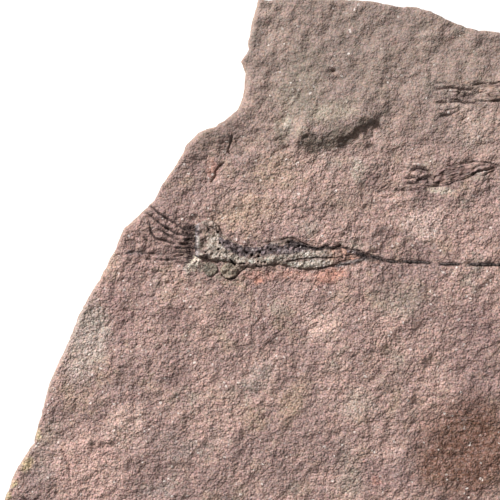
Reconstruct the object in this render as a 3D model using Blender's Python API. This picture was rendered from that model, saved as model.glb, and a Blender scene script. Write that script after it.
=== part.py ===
"""Three fossil eocrinoids fixed in a slab of fine sandstone.

The slab lies flat with +Z up. The origin is under the middle of its bounding box, on its
underside. Lengths are written in millimetres, and MM turns them into metres.
"""

import math

import bmesh
import bpy
from mathutils import Vector, geometry, noise

MM = 0.001
GAP = 0.3  # clearance between a fossil body and the stone it is set in

# Slab
THICKNESS = 14.0
HALF_LENGTH = 84.4  # the outline reaches this far along X, both ways
HALF_WIDTH = 75.6  # and this far along Y
OUTLINE_STEP = 3.6  # spacing of the points along the broken edge
TOP_STEP = 5.2  # spacing of the points over the top
CHIPPING = 0.35  # how far the broken edge wanders from the outline
RIM = 0.8  # width of the worn rim between top and wall
RIM_DROP = 2.4
WAIST_HEIGHT = 6.0
WAIST_INSET = 0.7
FOOT_INSET = 1.4

# Flake that stands proud of the top behind a sloping scarp, which faces the foot of the slab
FLAKE_HEIGHT = 1.9
FLAKE_REACH = 11.0  # how far behind the scarp the flake fades out
SCARP_RUN = [(-6.4, 4.5), (-3.0, 5.2), (0.0, 4.0), (4.4, 5.4), (6.5, 4.0), (8.2, 2.6), (13.9, 1.6)]
SCARP_ENDS = (-9.6, 14.4)  # the flake sinks into the top beyond these
SCARP = [  # the slope's upper edge; SCARP_RUN has the slope's width by x
    (-12.4, 37.0), (-9.0, 38.0), (-6.4, 39.4), (-3.9, 41.3), (0.1, 41.0), (2.6, 41.5), (4.3, 42.8),
    (6.9, 42.5), (8.9, 44.1), (10.6, 45.1), (13.9, 44.0), (17.4, 42.4), (21.0, 41.4),
]

# Broken outline of the slab, counter-clockwise from its lower left corner
OUTLINE = [
    (-84.4, -72.6), (-76.0, -73.4), (-69.0, -72.2), (-60.0, -74.3), (-49.0, -73.6), (-38.0, -75.1),
    (-24.0, -74.2), (-5.6, -75.6), (6.0, -74.6), (15.0, -75.2), (27.0, -73.6), (39.4, -74.0),
    (47.0, -72.2), (58.0, -73.0), (69.4, -70.4), (75.0, -70.6), (80.2, -66.2), (81.6, -58.0),
    (84.4, -50.6), (83.2, -41.0), (80.9, -33.0), (82.4, -21.0), (83.8, -10.0), (82.0, -0.6),
    (82.6, 10.0), (79.6, 19.0), (80.4, 29.0), (78.0, 38.0), (78.8, 45.0), (74.4, 54.0),
    (66.5, 60.9), (57.0, 64.1), (49.4, 66.1), (42.4, 67.1), (36.4, 68.1), (31.5, 70.0),
    (27.4, 72.1), (24.4, 73.1), (18.4, 73.4), (12.4, 74.6), (4.4, 75.2), (-5.6, 75.6),
    (-16.0, 74.9), (-17.9, 68.4), (-18.9, 62.4), (-20.4, 59.4), (-19.2, 56.4), (-19.9, 50.4),
    (-21.1, 47.4), (-24.6, 44.4), (-31.1, 41.4), (-34.1, 38.4), (-37.4, 32.4), (-39.9, 29.4),
    (-42.4, 24.6), (-46.4, 20.4), (-49.9, 17.4), (-52.6, 11.4), (-57.4, 2.4), (-60.9, -3.6),
    (-64.6, -12.6), (-68.6, -21.6), (-72.6, -36.6), (-76.6, -42.6), (-79.9, -50.4), (-83.0, -61.0),
]

# Body of the main animal: (x, upper edge, lower edge, rise above the slab, depth below it)
THECA = [
    (-31.9, 17.7, 10.6, 1.1, 0.9), (-30.6, 18.9, 9.9, 1.7, 1.2), (-27.9, 19.3, 9.4, 1.8, 1.3),
    (-26.2, 18.4, 9.2, 1.8, 1.3), (-25.0, 16.1, 9.2, 1.6, 1.3), (-22.4, 14.3, 8.7, 1.4, 1.2),
    (-19.6, 13.0, 7.6, 1.1, 1.0), (-16.4, 12.7, 7.6, 1.0, 0.9), (-13.0, 13.8, 8.1, 1.1, 0.9),
    (-9.9, 14.5, 8.1, 1.2, 0.9), (-7.6, 14.7, 7.5, 1.2, 0.9), (-4.5, 13.4, 7.1, 1.1, 0.9),
    (-1.0, 12.6, 7.2, 1.0, 0.8), (2.6, 12.5, 8.0, 0.9, 0.8), (5.6, 12.3, 9.1, 0.7, 0.7),
    (8.4, 11.5, 9.6, 0.5, 0.6), (10.9, 10.8, 10.0, 0.3, 0.5),
]

# Lumps of matrix along its lower side: centre x, y, half length, half width, rise, depth
ROUND_NODULE = (-23.4, 6.7, 2.2, 1.9, 1.3, 1.2)
FLAT_NODULE = (-28.0, 7.1, 1.95, 1.75, 0.8, 1.0)

# Bodies of the two smaller animals, as for the main one
SECOND_THECA = [
    (27.6, 30.9, 28.6, 0.2, 0.4), (29.6, 31.9, 28.5, 0.5, 0.6), (33.4, 33.3, 29.3, 0.6, 0.7),
    (37.2, 33.6, 30.9, 0.6, 0.7), (40.4, 33.7, 31.8, 0.5, 0.6), (43.6, 33.4, 32.4, 0.2, 0.4),
]
THIRD_THECA = [
    (39.3, 53.2, 49.4, 0.3, 0.4), (42.0, 53.7, 49.1, 0.7, 0.7), (46.0, 53.9, 49.0, 0.8, 0.8),
    (50.0, 53.6, 49.5, 0.7, 0.7), (53.6, 52.8, 50.5, 0.5, 0.6), (56.4, 52.1, 51.2, 0.2, 0.4),
]

# Strands: half width, then the route. Each lies half sunk in the top.
BRACHIOLES = [
    (0.27, [(-32.6, 16.7), (-34.6, 17.1), (-37.4, 18.9), (-39.9, 20.4), (-43.0, 22.9)]),
    (0.23, [(-32.6, 15.5), (-34.1, 15.6), (-36.4, 16.0), (-38.1, 16.9), (-40.1, 18.1), (-44.0, 21.3)]),
    (0.20, [(-32.6, 14.4), (-34.0, 14.5), (-36.4, 14.6), (-38.1, 15.4), (-39.9, 16.5), (-40.9, 16.9)]),
    (0.20, [(-32.6, 13.3), (-34.0, 13.2), (-36.5, 13.5), (-39.9, 14.3), (-41.9, 15.1), (-43.0, 16.6),
            (-43.3, 18.8)]),
    (0.18, [(-32.6, 12.2), (-34.0, 12.3), (-37.0, 12.5), (-40.9, 13.2), (-43.4, 14.1), (-44.6, 14.9)]),
    (0.24, [(-32.6, 11.1), (-34.0, 11.2), (-36.1, 11.4), (-38.1, 11.0), (-40.9, 10.9), (-44.0, 11.1),
            (-48.6, 11.2), (-51.6, 10.8)]),
    (0.20, [(-32.6, 10.0), (-34.6, 9.8), (-36.9, 9.6), (-40.9, 9.4), (-43.9, 9.6)]),
    (0.20, [(-33.0, 8.9), (-33.9, 8.7), (-35.9, 8.7)]),
    (0.17, [(-35.0, 10.6), (-36.0, 10.5), (-37.6, 10.2)]),
]
STEM = [
    (0.38, [(12.0, 10.4), (13.6, 9.9), (15.1, 9.3)]),
    (0.36, [(16.1, 9.2), (18.9, 8.9)]),
    (0.40, [(20.1, 9.0), (23.4, 8.9), (26.9, 8.6)]),
    (0.38, [(29.4, 8.4), (34.2, 8.3)]),
    (0.38, [(36.6, 8.3), (42.0, 8.3), (46.5, 7.9), (51.4, 7.4)]),
    (0.34, [(53.0, 7.2), (57.6, 6.8), (62.4, 6.2)]),
]
SECOND_BRACHIOLES = [
    (0.45, [(22.3, 31.9), (24.4, 32.3), (26.6, 31.6)]),
    (0.24, [(20.6, 29.8), (24.0, 30.0), (26.9, 30.3)]),
    (0.24, [(21.1, 28.5), (23.6, 28.7), (26.0, 28.8)]),
    (0.22, [(14.1, 26.4), (15.7, 27.2), (17.5, 28.6)]),
    (0.24, [(18.4, 26.9), (21.6, 26.8), (24.6, 26.9)]),
]
SECOND_STEM = [
    (0.30, [(44.6, 32.9), (48.6, 33.2), (53.6, 33.6)]),
    (0.26, [(54.9, 33.7), (59.0, 34.2), (63.6, 34.4)]),
]
THIRD_BRACHIOLES = [
    (0.22, [(28.6, 53.9), (31.0, 53.7), (33.4, 53.3)]),
    (0.26, [(28.6, 52.3), (31.4, 52.5), (34.6, 52.1), (37.4, 52.0)]),
    (0.30, [(31.9, 50.2), (34.6, 50.4), (37.6, 50.6)]),
    (0.22, [(28.8, 48.7), (32.1, 49.0), (35.2, 48.9), (38.1, 48.7)]),
    (0.22, [(29.9, 45.3), (32.2, 45.9), (34.5, 47.1)]),
]
THIRD_STEM = [
    (0.28, [(57.5, 51.6), (60.9, 51.4), (64.6, 51.0)]),
    (0.24, [(65.8, 50.8), (69.6, 50.1)]),
]
STRAND_STEP = 1.7  # spacing of the rings along a strand
STRAND_SIDES = 6
THECA_SIDES = 12

# Colour, roughness
STONE = ((0.37, 0.26, 0.23, 1.0), 0.92)
PLATES = ((0.25, 0.22, 0.20, 1.0), 0.85)
LUMP = ((0.27, 0.22, 0.17, 1.0), 0.90)
STAINED = ((0.09, 0.06, 0.06, 1.0), 0.80)


def clear_scene():
    for obj in list(bpy.data.objects):
        bpy.data.objects.remove(obj, do_unlink=True)


def finish_material(name, look):
    colour, roughness = look
    material = bpy.data.materials.new(name)
    material.use_nodes = True
    shader = material.node_tree.nodes["Principled BSDF"]
    shader.inputs["Base Color"].default_value = colour
    shader.inputs["Roughness"].default_value = roughness
    shader.inputs["Metallic"].default_value = 0.0
    return material


def add_object(name, bm, material, smooth=True):
    """A new object from a closed mesh in millimetres, its normals turned outwards."""
    bmesh.ops.scale(bm, vec=(MM, MM, MM), verts=bm.verts)
    bmesh.ops.recalc_face_normals(bm, faces=bm.faces)
    mesh = bpy.data.meshes.new(name)
    bm.to_mesh(mesh)
    bm.free()
    obj = bpy.data.objects.new(name, mesh)
    bpy.context.scene.collection.objects.link(obj)
    if smooth:
        mesh.shade_smooth()
        mesh.set_sharp_from_angle(angle=math.radians(40))
    mesh.materials.append(material)
    return obj


# --- the top of the slab -------------------------------------------------------------------------


def behind_scarp(x, y):
    """How far a point lies behind the scarp's upper edge; negative in front of it."""
    best = None
    for a, b in zip(SCARP, SCARP[1:]):
        run = Vector((b[0] - a[0], b[1] - a[1]))
        to_point = Vector((x - a[0], y - a[1]))
        t = min(1.0, max(0.0, to_point.dot(run) / run.length_squared))
        away = (to_point - run * t).length
        side = 1.0 if run.x * to_point.y - run.y * to_point.x > 0 else -1.0
        if best is None or away < abs(best):
            best = side * away
    return best


def smooth_step(value):
    value = min(1.0, max(0.0, value))
    return value * value * (3.0 - 2.0 * value)


def scarp_run(x):
    """Width of the slope at a place along the scarp."""
    if x <= SCARP_RUN[0][0]:
        return SCARP_RUN[0][1]
    for (ax, first), (bx, last) in zip(SCARP_RUN, SCARP_RUN[1:]):
        if x < bx:
            return first + (last - first) * (x - ax) / (bx - ax)
    return SCARP_RUN[-1][1]


def flake(x, y):
    """Height of the flake: it slopes down the scarp, and fades behind it and towards its ends."""
    behind, run = behind_scarp(x, y), scarp_run(x)
    if behind < -run:
        return 0.0
    inland = max(behind, 0.0)
    left = smooth_step((x - SCARP_ENDS[0] + 0.3 * inland) / (4.0 + 0.8 * inland))
    right = smooth_step((SCARP_ENDS[1] + 0.4 * inland - x) / (2.2 + 2.6 * inland))
    fade = math.exp(-((inland / FLAKE_REACH) ** 2))
    return FLAKE_HEIGHT * left * right * fade * smooth_step((behind + run) / run)


def surface(x, y):
    """Height of the slab's top: a slow swell of the bedding plane, and the flake."""
    swell = 0.40 * math.sin(0.045 * x + 0.020 * y + 0.6)
    swell += 0.30 * math.sin(-0.030 * x + 0.060 * y + 2.1)
    swell += 0.15 * math.sin(0.110 * x + 0.070 * y + 1.0)
    return THICKNESS + swell + flake(x, y)


# --- the slab ------------------------------------------------------------------------------------


def chipped_outline():
    """The outline at even spacing, each point pushed a little in or out, and its way inwards."""
    points = []
    for a, b in zip(OUTLINE, OUTLINE[1:] + OUTLINE[:1]):
        a, b = Vector(a), Vector(b)
        steps = max(1, round((b - a).length / OUTLINE_STEP))
        points += [a.lerp(b, i / steps) for i in range(steps)]
    rim = []
    for i, point in enumerate(points):
        run = points[(i + 1) % len(points)] - points[i - 1]
        inward = Vector((-run.y, run.x)).normalized()
        chip = CHIPPING * noise.noise(Vector((point.x * 0.4, point.y * 0.4, 3.0)))
        point = point + inward * chip
        point.x = min(HALF_LENGTH, max(-HALF_LENGTH, point.x))
        point.y = min(HALF_WIDTH, max(-HALF_WIDTH, point.y))
        rim.append((point, inward))
    return rim


def touch_box(rim):
    """Moves the outermost points onto the four sides of the bounding box."""
    for axis, half in ((0, HALF_LENGTH), (1, HALF_WIDTH)):
        for pick, side in ((min, -half), (max, half)):
            point, _ = pick(rim, key=lambda entry: entry[0][axis])
            point[axis] = side


def ring(bm, rim, inset, height):
    """One loop of vertices round the slab; inset and height are functions of a point."""
    loop = []
    for point, inward in rim:
        place = point + inward * inset(point)
        loop.append(bm.verts.new((place.x, place.y, height(place))))
    return loop


def wall(bm, upper, lower):
    count = len(upper)
    for i in range(count):
        j = (i + 1) % count
        bm.faces.new((upper[i], upper[j], lower[j], lower[i]))


def wander(point, seed):
    return noise.noise(Vector((point.x * 0.15, point.y * 0.15, seed)))


def on_scarp(point):
    return -scarp_run(point.x) - 1.5 < behind_scarp(point.x, point.y) < 1.5


def top_points(loop):
    """Points over the top: a staggered grid inside the rim, and rows that follow the scarp."""
    border = [Vector((v.co.x, v.co.y)) for v in loop]
    points = []
    rows = int(2 * HALF_WIDTH / (TOP_STEP * 0.866))
    for row in range(rows + 1):
        y = -HALF_WIDTH + row * TOP_STEP * 0.866
        shift = 0.5 * TOP_STEP * (row % 2)
        for column in range(int(2 * HALF_LENGTH / TOP_STEP) + 1):
            points.append(Vector((-HALF_LENGTH + column * TOP_STEP + shift, y)))
    points = [p for p in points if not on_scarp(p)]
    for share in (0.1, -0.5, -1.0):
        for a, b in zip(SCARP, SCARP[1:]):
            a, b = Vector(a), Vector(b)
            across = Vector((a.y - b.y, b.x - a.x)).normalized()
            middle = a.lerp(b, 0.5)
            points.append(middle + across * scarp_run(middle.x) * share)
    return [p for p in points if inside(p, border) and clear_of(p, border, TOP_STEP * 0.45)]


def inside(point, border):
    crossings = 0
    for a, b in zip(border, border[1:] + border[:1]):
        if (a.y > point.y) != (b.y > point.y):
            x = a.x + (point.y - a.y) / (b.y - a.y) * (b.x - a.x)
            crossings += x > point.x
    return crossings % 2 == 1


def clear_of(point, border, distance):
    return all((point - b).length > distance for b in border)


def cover(bm, loop):
    """Closes the top between the rim's loop with a triangulated, gently swelling surface."""
    border = [Vector((v.co.x, v.co.y)) for v in loop]
    flat = border + top_points(loop)
    result = geometry.delaunay_2d_cdt(flat, [], [list(range(len(loop)))], 1, 1e-6)
    places, faces, sources = result[0], result[2], result[3]
    corners = []
    for place, source in zip(places, sources):
        if source[0] < len(loop):
            corners.append(loop[source[0]])
        else:
            corners.append(bm.verts.new((place.x, place.y, surface(place.x, place.y))))
    for face in faces:
        bm.faces.new([corners[i] for i in face])


def slab(material, cutters):
    rim = chipped_outline()
    touch_box(rim)
    bm = bmesh.new()
    top = ring(bm, rim, lambda p: RIM, lambda p: surface(p.x, p.y) - 0.2)
    shoulder = ring(bm, rim, lambda p: 0.0,
                    lambda p: surface(p.x, p.y) - RIM_DROP + 0.7 * wander(p, 1.0))
    waist = ring(bm, rim, lambda p: WAIST_INSET + 0.6 * wander(p, 2.0),
                 lambda p: WAIST_HEIGHT + 1.4 * wander(p, 4.0))
    foot = ring(bm, rim, lambda p: FOOT_INSET + 0.8 * wander(p, 6.0), lambda p: 0.0)
    wall(bm, top, shoulder)
    wall(bm, shoulder, waist)
    wall(bm, waist, foot)
    cover(bm, top)
    bm.faces.new(list(reversed(foot)))
    bmesh.ops.triangulate(bm, faces=bm.faces)
    stone = add_object("matrix_slab", bm, material, smooth=False)
    cut = stone.modifiers.new("pockets", "BOOLEAN")
    cut.operation = "DIFFERENCE"
    cut.operand_type = "COLLECTION"
    cut.collection = cutters
    cut.solver = "EXACT"
    return stone


# --- the fossil bodies ---------------------------------------------------------------------------


def skin(bm, rings):
    """Joins rings of equal count into a closed tube with flat ends."""
    for upper, lower in zip(rings, rings[1:]):
        wall(bm, upper, lower)
    bm.faces.new(rings[0])
    bm.faces.new(list(reversed(rings[-1])))


def theca_mesh(stations, grow):
    """A low body lying along X, each station a rounded section; grow enlarges it all round."""
    bm = bmesh.new()
    rings = []
    last = len(stations) - 1
    for i, (x, upper, lower, rise, depth) in enumerate(stations):
        x += grow * ((i == last) - (i == 0))
        middle, half = (upper + lower) / 2, (upper - lower) / 2 + grow
        loop = []
        for k in range(THECA_SIDES):
            angle = 2 * math.pi * (k + 0.5) / THECA_SIDES
            y = middle + half * math.copysign(abs(math.cos(angle)) ** 0.8, math.cos(angle))
            lift = math.copysign(abs(math.sin(angle)) ** 0.8, math.sin(angle))
            height = (rise if lift > 0 else depth) + grow
            loop.append(bm.verts.new((x, y, surface(x, middle) + height * lift)))
        rings.append(loop)
    skin(bm, rings)
    bmesh.ops.triangulate(bm, faces=bm.faces)
    return bm


def nodule_mesh(place, grow):
    x, y, half_length, half_width, rise, depth = place
    bm = bmesh.new()
    bmesh.ops.create_icosphere(bm, subdivisions=2, radius=1.0)
    for vertex in bm.verts:
        height = (rise if vertex.co.z > 0 else depth) + grow
        vertex.co = Vector((vertex.co.x * (half_length + grow), vertex.co.y * (half_width + grow),
                            vertex.co.z * height))
    bmesh.ops.translate(bm, vec=(x, y, surface(x, y)), verts=bm.verts)
    return bm


def smooth_route(route):
    """Evenly spaced points on a smooth curve through the route's own points."""
    points = [Vector((x, y)) for x, y in route]
    padded = [2 * points[0] - points[1]] + points + [2 * points[-1] - points[-2]]
    result = []
    for before, a, b, after in zip(padded, padded[1:], padded[2:], padded[3:]):
        steps = max(1, round((b - a).length / STRAND_STEP))
        for i in range(steps):
            t = i / steps
            result.append(0.5 * (2 * a + (b - before) * t
                                 + (2 * before - 5 * a + 4 * b - after) * t * t
                                 + (3 * a - before - 3 * b + after) * t ** 3))
    return result + [points[-1]]


def strand_mesh(strand, grow):
    """A thin thread that follows its route along the slab's top, narrowing to its far end."""
    half, route = strand
    path = smooth_route(route)
    path[0] += (path[0] - path[1]).normalized() * grow
    path[-1] += (path[-1] - path[-2]).normalized() * grow
    bm = bmesh.new()
    rings = []
    for i, place in enumerate(path):
        run = path[min(i + 1, len(path) - 1)] - path[max(i - 1, 0)]
        across = Vector((-run.y, run.x)).normalized()
        radius = half * (1.0 - 0.2 * i / (len(path) - 1)) + grow
        loop = []
        for k in range(STRAND_SIDES):
            angle = 2 * math.pi * k / STRAND_SIDES
            side = place + across * (radius * math.cos(angle))
            height = surface(place.x, place.y) + radius * math.sin(angle)
            loop.append(bm.verts.new((side.x, side.y, height)))
        rings.append(loop)
    skin(bm, rings)
    bmesh.ops.triangulate(bm, faces=bm.faces)
    return bm


def set_in_stone(name, make, shape, material, cutters):
    """One fossil body, and the cutter that opens its pocket in the slab."""
    add_object(name, make(shape, 0.0), material)
    cutter = add_object(name + "_pocket", make(shape, GAP), material, smooth=False)
    cutter.hide_render = True
    cutter.display_type = "WIRE"
    bpy.context.scene.collection.objects.unlink(cutter)
    cutters.objects.link(cutter)


def main():
    clear_scene()
    stone = finish_material("sandstone", STONE)
    plates = finish_material("fossil_plates", PLATES)
    lump = finish_material("matrix_lump", LUMP)
    stained = finish_material("iron_stained_fossil", STAINED)
    cutters = bpy.data.collections.new("pocket_cutters")
    bpy.context.scene.collection.children.link(cutters)

    set_in_stone("theca", theca_mesh, THECA, plates, cutters)
    set_in_stone("round_nodule", nodule_mesh, ROUND_NODULE, lump, cutters)
    set_in_stone("flat_nodule", nodule_mesh, FLAT_NODULE, lump, cutters)
    set_in_stone("second_theca", theca_mesh, SECOND_THECA, stained, cutters)
    set_in_stone("third_theca", theca_mesh, THIRD_THECA, plates, cutters)
    for prefix, strands in (("brachiole", BRACHIOLES), ("stem", STEM),
                            ("second_brachiole", SECOND_BRACHIOLES), ("second_stem", SECOND_STEM),
                            ("third_brachiole", THIRD_BRACHIOLES), ("third_stem", THIRD_STEM)):
        for number, strand in enumerate(strands, start=1):
            set_in_stone(f"{prefix}_{number}", strand_mesh, strand, stained, cutters)
    slab(stone, cutters)


main()
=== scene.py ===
"""Looks of a slab of fine sandstone with three fossil eocrinoids set in its top.

Lengths are millimetres in the slab's own frame, and MM turns them into metres on the way into a mesh.
"""
import math

import bpy
import numpy as np
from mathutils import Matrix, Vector, geometry


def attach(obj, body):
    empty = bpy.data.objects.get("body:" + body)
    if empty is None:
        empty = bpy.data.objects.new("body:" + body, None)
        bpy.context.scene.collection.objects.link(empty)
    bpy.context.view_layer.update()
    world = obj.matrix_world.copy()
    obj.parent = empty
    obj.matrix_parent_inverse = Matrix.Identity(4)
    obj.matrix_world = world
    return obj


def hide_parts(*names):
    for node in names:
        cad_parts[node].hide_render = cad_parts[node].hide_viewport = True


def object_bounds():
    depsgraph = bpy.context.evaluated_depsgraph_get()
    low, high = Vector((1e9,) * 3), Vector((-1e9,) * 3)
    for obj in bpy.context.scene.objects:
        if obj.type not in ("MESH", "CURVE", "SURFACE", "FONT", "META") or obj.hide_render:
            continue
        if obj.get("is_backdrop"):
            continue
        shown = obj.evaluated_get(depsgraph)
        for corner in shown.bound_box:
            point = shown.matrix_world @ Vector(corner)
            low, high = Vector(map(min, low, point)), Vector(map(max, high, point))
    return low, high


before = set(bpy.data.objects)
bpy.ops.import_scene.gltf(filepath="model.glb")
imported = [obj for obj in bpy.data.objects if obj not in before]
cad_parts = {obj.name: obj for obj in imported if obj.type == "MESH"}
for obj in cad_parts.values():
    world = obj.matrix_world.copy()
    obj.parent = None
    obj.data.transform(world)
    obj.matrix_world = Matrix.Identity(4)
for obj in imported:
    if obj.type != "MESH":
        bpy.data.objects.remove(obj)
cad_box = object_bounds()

MM = 0.001

# --- shapes shared with the frame ----------------------------------------------------------------

THICKNESS = 14.0
HALF_SIZE = (84.4, 75.6)  # half the length and half the width of its box
RIM = 0.8
OUTLINE = [
    (-84.4, -72.6), (-76.0, -73.4), (-69.0, -72.2), (-60.0, -74.3), (-49.0, -73.6), (-38.0, -75.1),
    (-24.0, -74.2), (-5.6, -75.6), (6.0, -74.6), (15.0, -75.2), (27.0, -73.6), (39.4, -74.0),
    (47.0, -72.2), (58.0, -73.0), (69.4, -70.4), (75.0, -70.6), (80.2, -66.2), (81.6, -58.0),
    (84.4, -50.6), (83.2, -41.0), (80.9, -33.0), (82.4, -21.0), (83.8, -10.0), (82.0, -0.6),
    (82.6, 10.0), (79.6, 19.0), (80.4, 29.0), (78.0, 38.0), (78.8, 45.0), (74.4, 54.0),
    (66.5, 60.9), (57.0, 64.1), (49.4, 66.1), (42.4, 67.1), (36.4, 68.1), (31.5, 70.0),
    (27.4, 72.1), (24.4, 73.1), (18.4, 73.4), (12.4, 74.6), (4.4, 75.2), (-5.6, 75.6),
    (-16.0, 74.9), (-17.9, 68.4), (-18.9, 62.4), (-20.4, 59.4), (-19.2, 56.4), (-19.9, 50.4),
    (-21.1, 47.4), (-24.6, 44.4), (-31.1, 41.4), (-34.1, 38.4), (-37.4, 32.4), (-39.9, 29.4),
    (-42.4, 24.6), (-46.4, 20.4), (-49.9, 17.4), (-52.6, 11.4), (-57.4, 2.4), (-60.9, -3.6),
    (-64.6, -12.6), (-68.6, -21.6), (-72.6, -36.6), (-76.6, -42.6), (-79.9, -50.4), (-83.0, -61.0),
]
FLAKE_HEIGHT = 1.9
FLAKE_REACH = 11.0
SCARP_RUN = ((-6.4, 4.5), (-3.0, 5.2), (0.0, 4.0), (4.4, 5.4), (6.5, 4.0), (8.2, 2.6), (13.9, 1.6))
SCARP = [
    (-12.4, 37.0), (-9.0, 38.0), (-6.4, 39.4), (-3.9, 41.3), (0.1, 41.0), (2.6, 41.5), (4.3, 42.8),
    (6.9, 42.5), (8.9, 44.1), (10.6, 45.1), (13.9, 44.0), (17.4, 42.4), (21.0, 41.4),
]
SCARP_ENDS = (-9.6, 14.4)
SCARP_FACE = [  # the scarp's face, darkened partly by stain and partly as painted shade where it faces away from the lamp
    (-5.1, 39.4), (-4.4, 40.6), (-3.6, 41.6), (-2.6, 41.4), (-1.9, 40.1), (-1.1, 39.4), (-0.1, 40.1),
    (1.1, 40.9), (2.4, 41.4), (2.9, 42.6), (3.6, 43.1), (4.1, 42.1), (5.6, 42.6), (7.4, 43.1), (8.4, 44.1),
    (9.4, 44.9), (10.6, 45.1), (11.9, 44.9), (13.1, 44.4), (13.4, 43.6), (12.6, 42.6), (11.6, 42.4),
    (9.1, 42.1), (8.6, 41.4), (7.6, 40.1), (7.4, 38.6), (6.1, 38.1), (4.9, 37.6), (3.4, 37.1), (1.9, 36.9),
    (0.6, 37.4), (-0.4, 37.1), (-1.4, 36.4), (-2.4, 35.6), (-3.4, 35.9), (-4.4, 36.4), (-5.1, 37.6),
]

# Bodies: (x, upper edge, lower edge, rise above the slab, depth below it)
THECA = [
    (-31.9, 17.7, 10.6, 1.1, 0.9), (-30.6, 18.9, 9.9, 1.7, 1.2), (-27.9, 19.3, 9.4, 1.8, 1.3),
    (-26.2, 18.4, 9.2, 1.8, 1.3), (-25.0, 16.1, 9.2, 1.6, 1.3), (-22.4, 14.3, 8.7, 1.4, 1.2),
    (-19.6, 13.0, 7.6, 1.1, 1.0), (-16.4, 12.7, 7.6, 1.0, 0.9), (-13.0, 13.8, 8.1, 1.1, 0.9),
    (-9.9, 14.5, 8.1, 1.2, 0.9), (-7.6, 14.7, 7.5, 1.2, 0.9), (-4.5, 13.4, 7.1, 1.1, 0.9),
    (-1.0, 12.6, 7.2, 1.0, 0.8), (2.6, 12.5, 8.0, 0.9, 0.8), (5.6, 12.3, 9.1, 0.7, 0.7),
    (8.4, 11.5, 9.6, 0.5, 0.6), (10.9, 10.8, 10.0, 0.3, 0.5),
]
SECOND_THECA = [
    (27.6, 30.9, 28.6, 0.2, 0.4), (29.6, 31.9, 28.5, 0.5, 0.6), (33.4, 33.3, 29.3, 0.6, 0.7),
    (37.2, 33.6, 30.9, 0.6, 0.7), (40.4, 33.7, 31.8, 0.5, 0.6), (43.6, 33.4, 32.4, 0.2, 0.4),
]
THIRD_THECA = [
    (39.3, 53.2, 49.4, 0.3, 0.4), (42.0, 53.7, 49.1, 0.7, 0.7), (46.0, 53.9, 49.0, 0.8, 0.8),
    (50.0, 53.6, 49.5, 0.7, 0.7), (53.6, 52.8, 50.5, 0.5, 0.6), (56.4, 52.1, 51.2, 0.2, 0.4),
]
ROUND_NODULE = (-23.4, 6.7, 2.2, 1.9, 1.3, 1.2)
FLAT_NODULE = (-28.0, 7.1, 1.95, 1.75, 0.8, 1.0)

# Strands: half width, then the route
BRACHIOLES = [
    (0.27, [(-32.6, 16.7), (-34.6, 17.1), (-37.4, 18.9), (-39.9, 20.4), (-43.0, 22.9)]),
    (0.23, [(-32.6, 15.5), (-34.1, 15.6), (-36.4, 16.0), (-38.1, 16.9), (-40.1, 18.1), (-44.0, 21.3)]),
    (0.20, [(-32.6, 14.4), (-34.0, 14.5), (-36.4, 14.6), (-38.1, 15.4), (-39.9, 16.5), (-40.9, 16.9)]),
    (0.20, [(-32.6, 13.3), (-34.0, 13.2), (-36.5, 13.5), (-39.9, 14.3), (-41.9, 15.1), (-43.0, 16.6),
            (-43.3, 18.8)]),
    (0.18, [(-32.6, 12.2), (-34.0, 12.3), (-37.0, 12.5), (-40.9, 13.2), (-43.4, 14.1), (-44.6, 14.9)]),
    (0.24, [(-32.6, 11.1), (-34.0, 11.2), (-36.1, 11.4), (-38.1, 11.0), (-40.9, 10.9), (-44.0, 11.1),
            (-48.6, 11.2), (-51.6, 10.8)]),
    (0.20, [(-32.6, 10.0), (-34.6, 9.8), (-36.9, 9.6), (-40.9, 9.4), (-43.9, 9.6)]),
    (0.20, [(-33.0, 8.9), (-33.9, 8.7), (-35.9, 8.7)]),
    (0.17, [(-35.0, 10.6), (-36.0, 10.5), (-37.6, 10.2)]),
]
STEM = [
    (0.38, [(12.0, 10.4), (13.6, 9.9), (15.1, 9.3)]),
    (0.36, [(16.1, 9.2), (18.9, 8.9)]),
    (0.40, [(20.1, 9.0), (23.4, 8.9), (26.9, 8.6)]),
    (0.38, [(29.4, 8.4), (34.2, 8.3)]),
    (0.38, [(36.6, 8.3), (42.0, 8.3), (46.5, 7.9), (51.4, 7.4)]),
    (0.34, [(53.0, 7.2), (57.6, 6.8), (62.4, 6.2)]),
]
SECOND_BRACHIOLES = [
    (0.45, [(22.3, 31.9), (24.4, 32.3), (26.6, 31.6)]),
    (0.24, [(20.6, 29.8), (24.0, 30.0), (26.9, 30.3)]),
    (0.24, [(21.1, 28.5), (23.6, 28.7), (26.0, 28.8)]),
    (0.22, [(14.1, 26.4), (15.7, 27.2), (17.5, 28.6)]),
    (0.24, [(18.4, 26.9), (21.6, 26.8), (24.6, 26.9)]),
]
SECOND_STEM = [
    (0.30, [(44.6, 32.9), (48.6, 33.2), (53.6, 33.6)]),
    (0.26, [(54.9, 33.7), (59.0, 34.2), (63.6, 34.4)]),
]
THIRD_BRACHIOLES = [
    (0.22, [(28.6, 53.9), (31.0, 53.7), (33.4, 53.3)]),
    (0.26, [(28.6, 52.3), (31.4, 52.5), (34.6, 52.1), (37.4, 52.0)]),
    (0.30, [(31.9, 50.2), (34.6, 50.4), (37.6, 50.6)]),
    (0.22, [(28.8, 48.7), (32.1, 49.0), (35.2, 48.9), (38.1, 48.7)]),
    (0.22, [(29.9, 45.3), (32.2, 45.9), (34.5, 47.1)]),
]
THIRD_STEM = [
    (0.28, [(57.5, 51.6), (60.9, 51.4), (64.6, 51.0)]),
    (0.24, [(65.8, 50.8), (69.6, 50.1)]),
]

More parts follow.
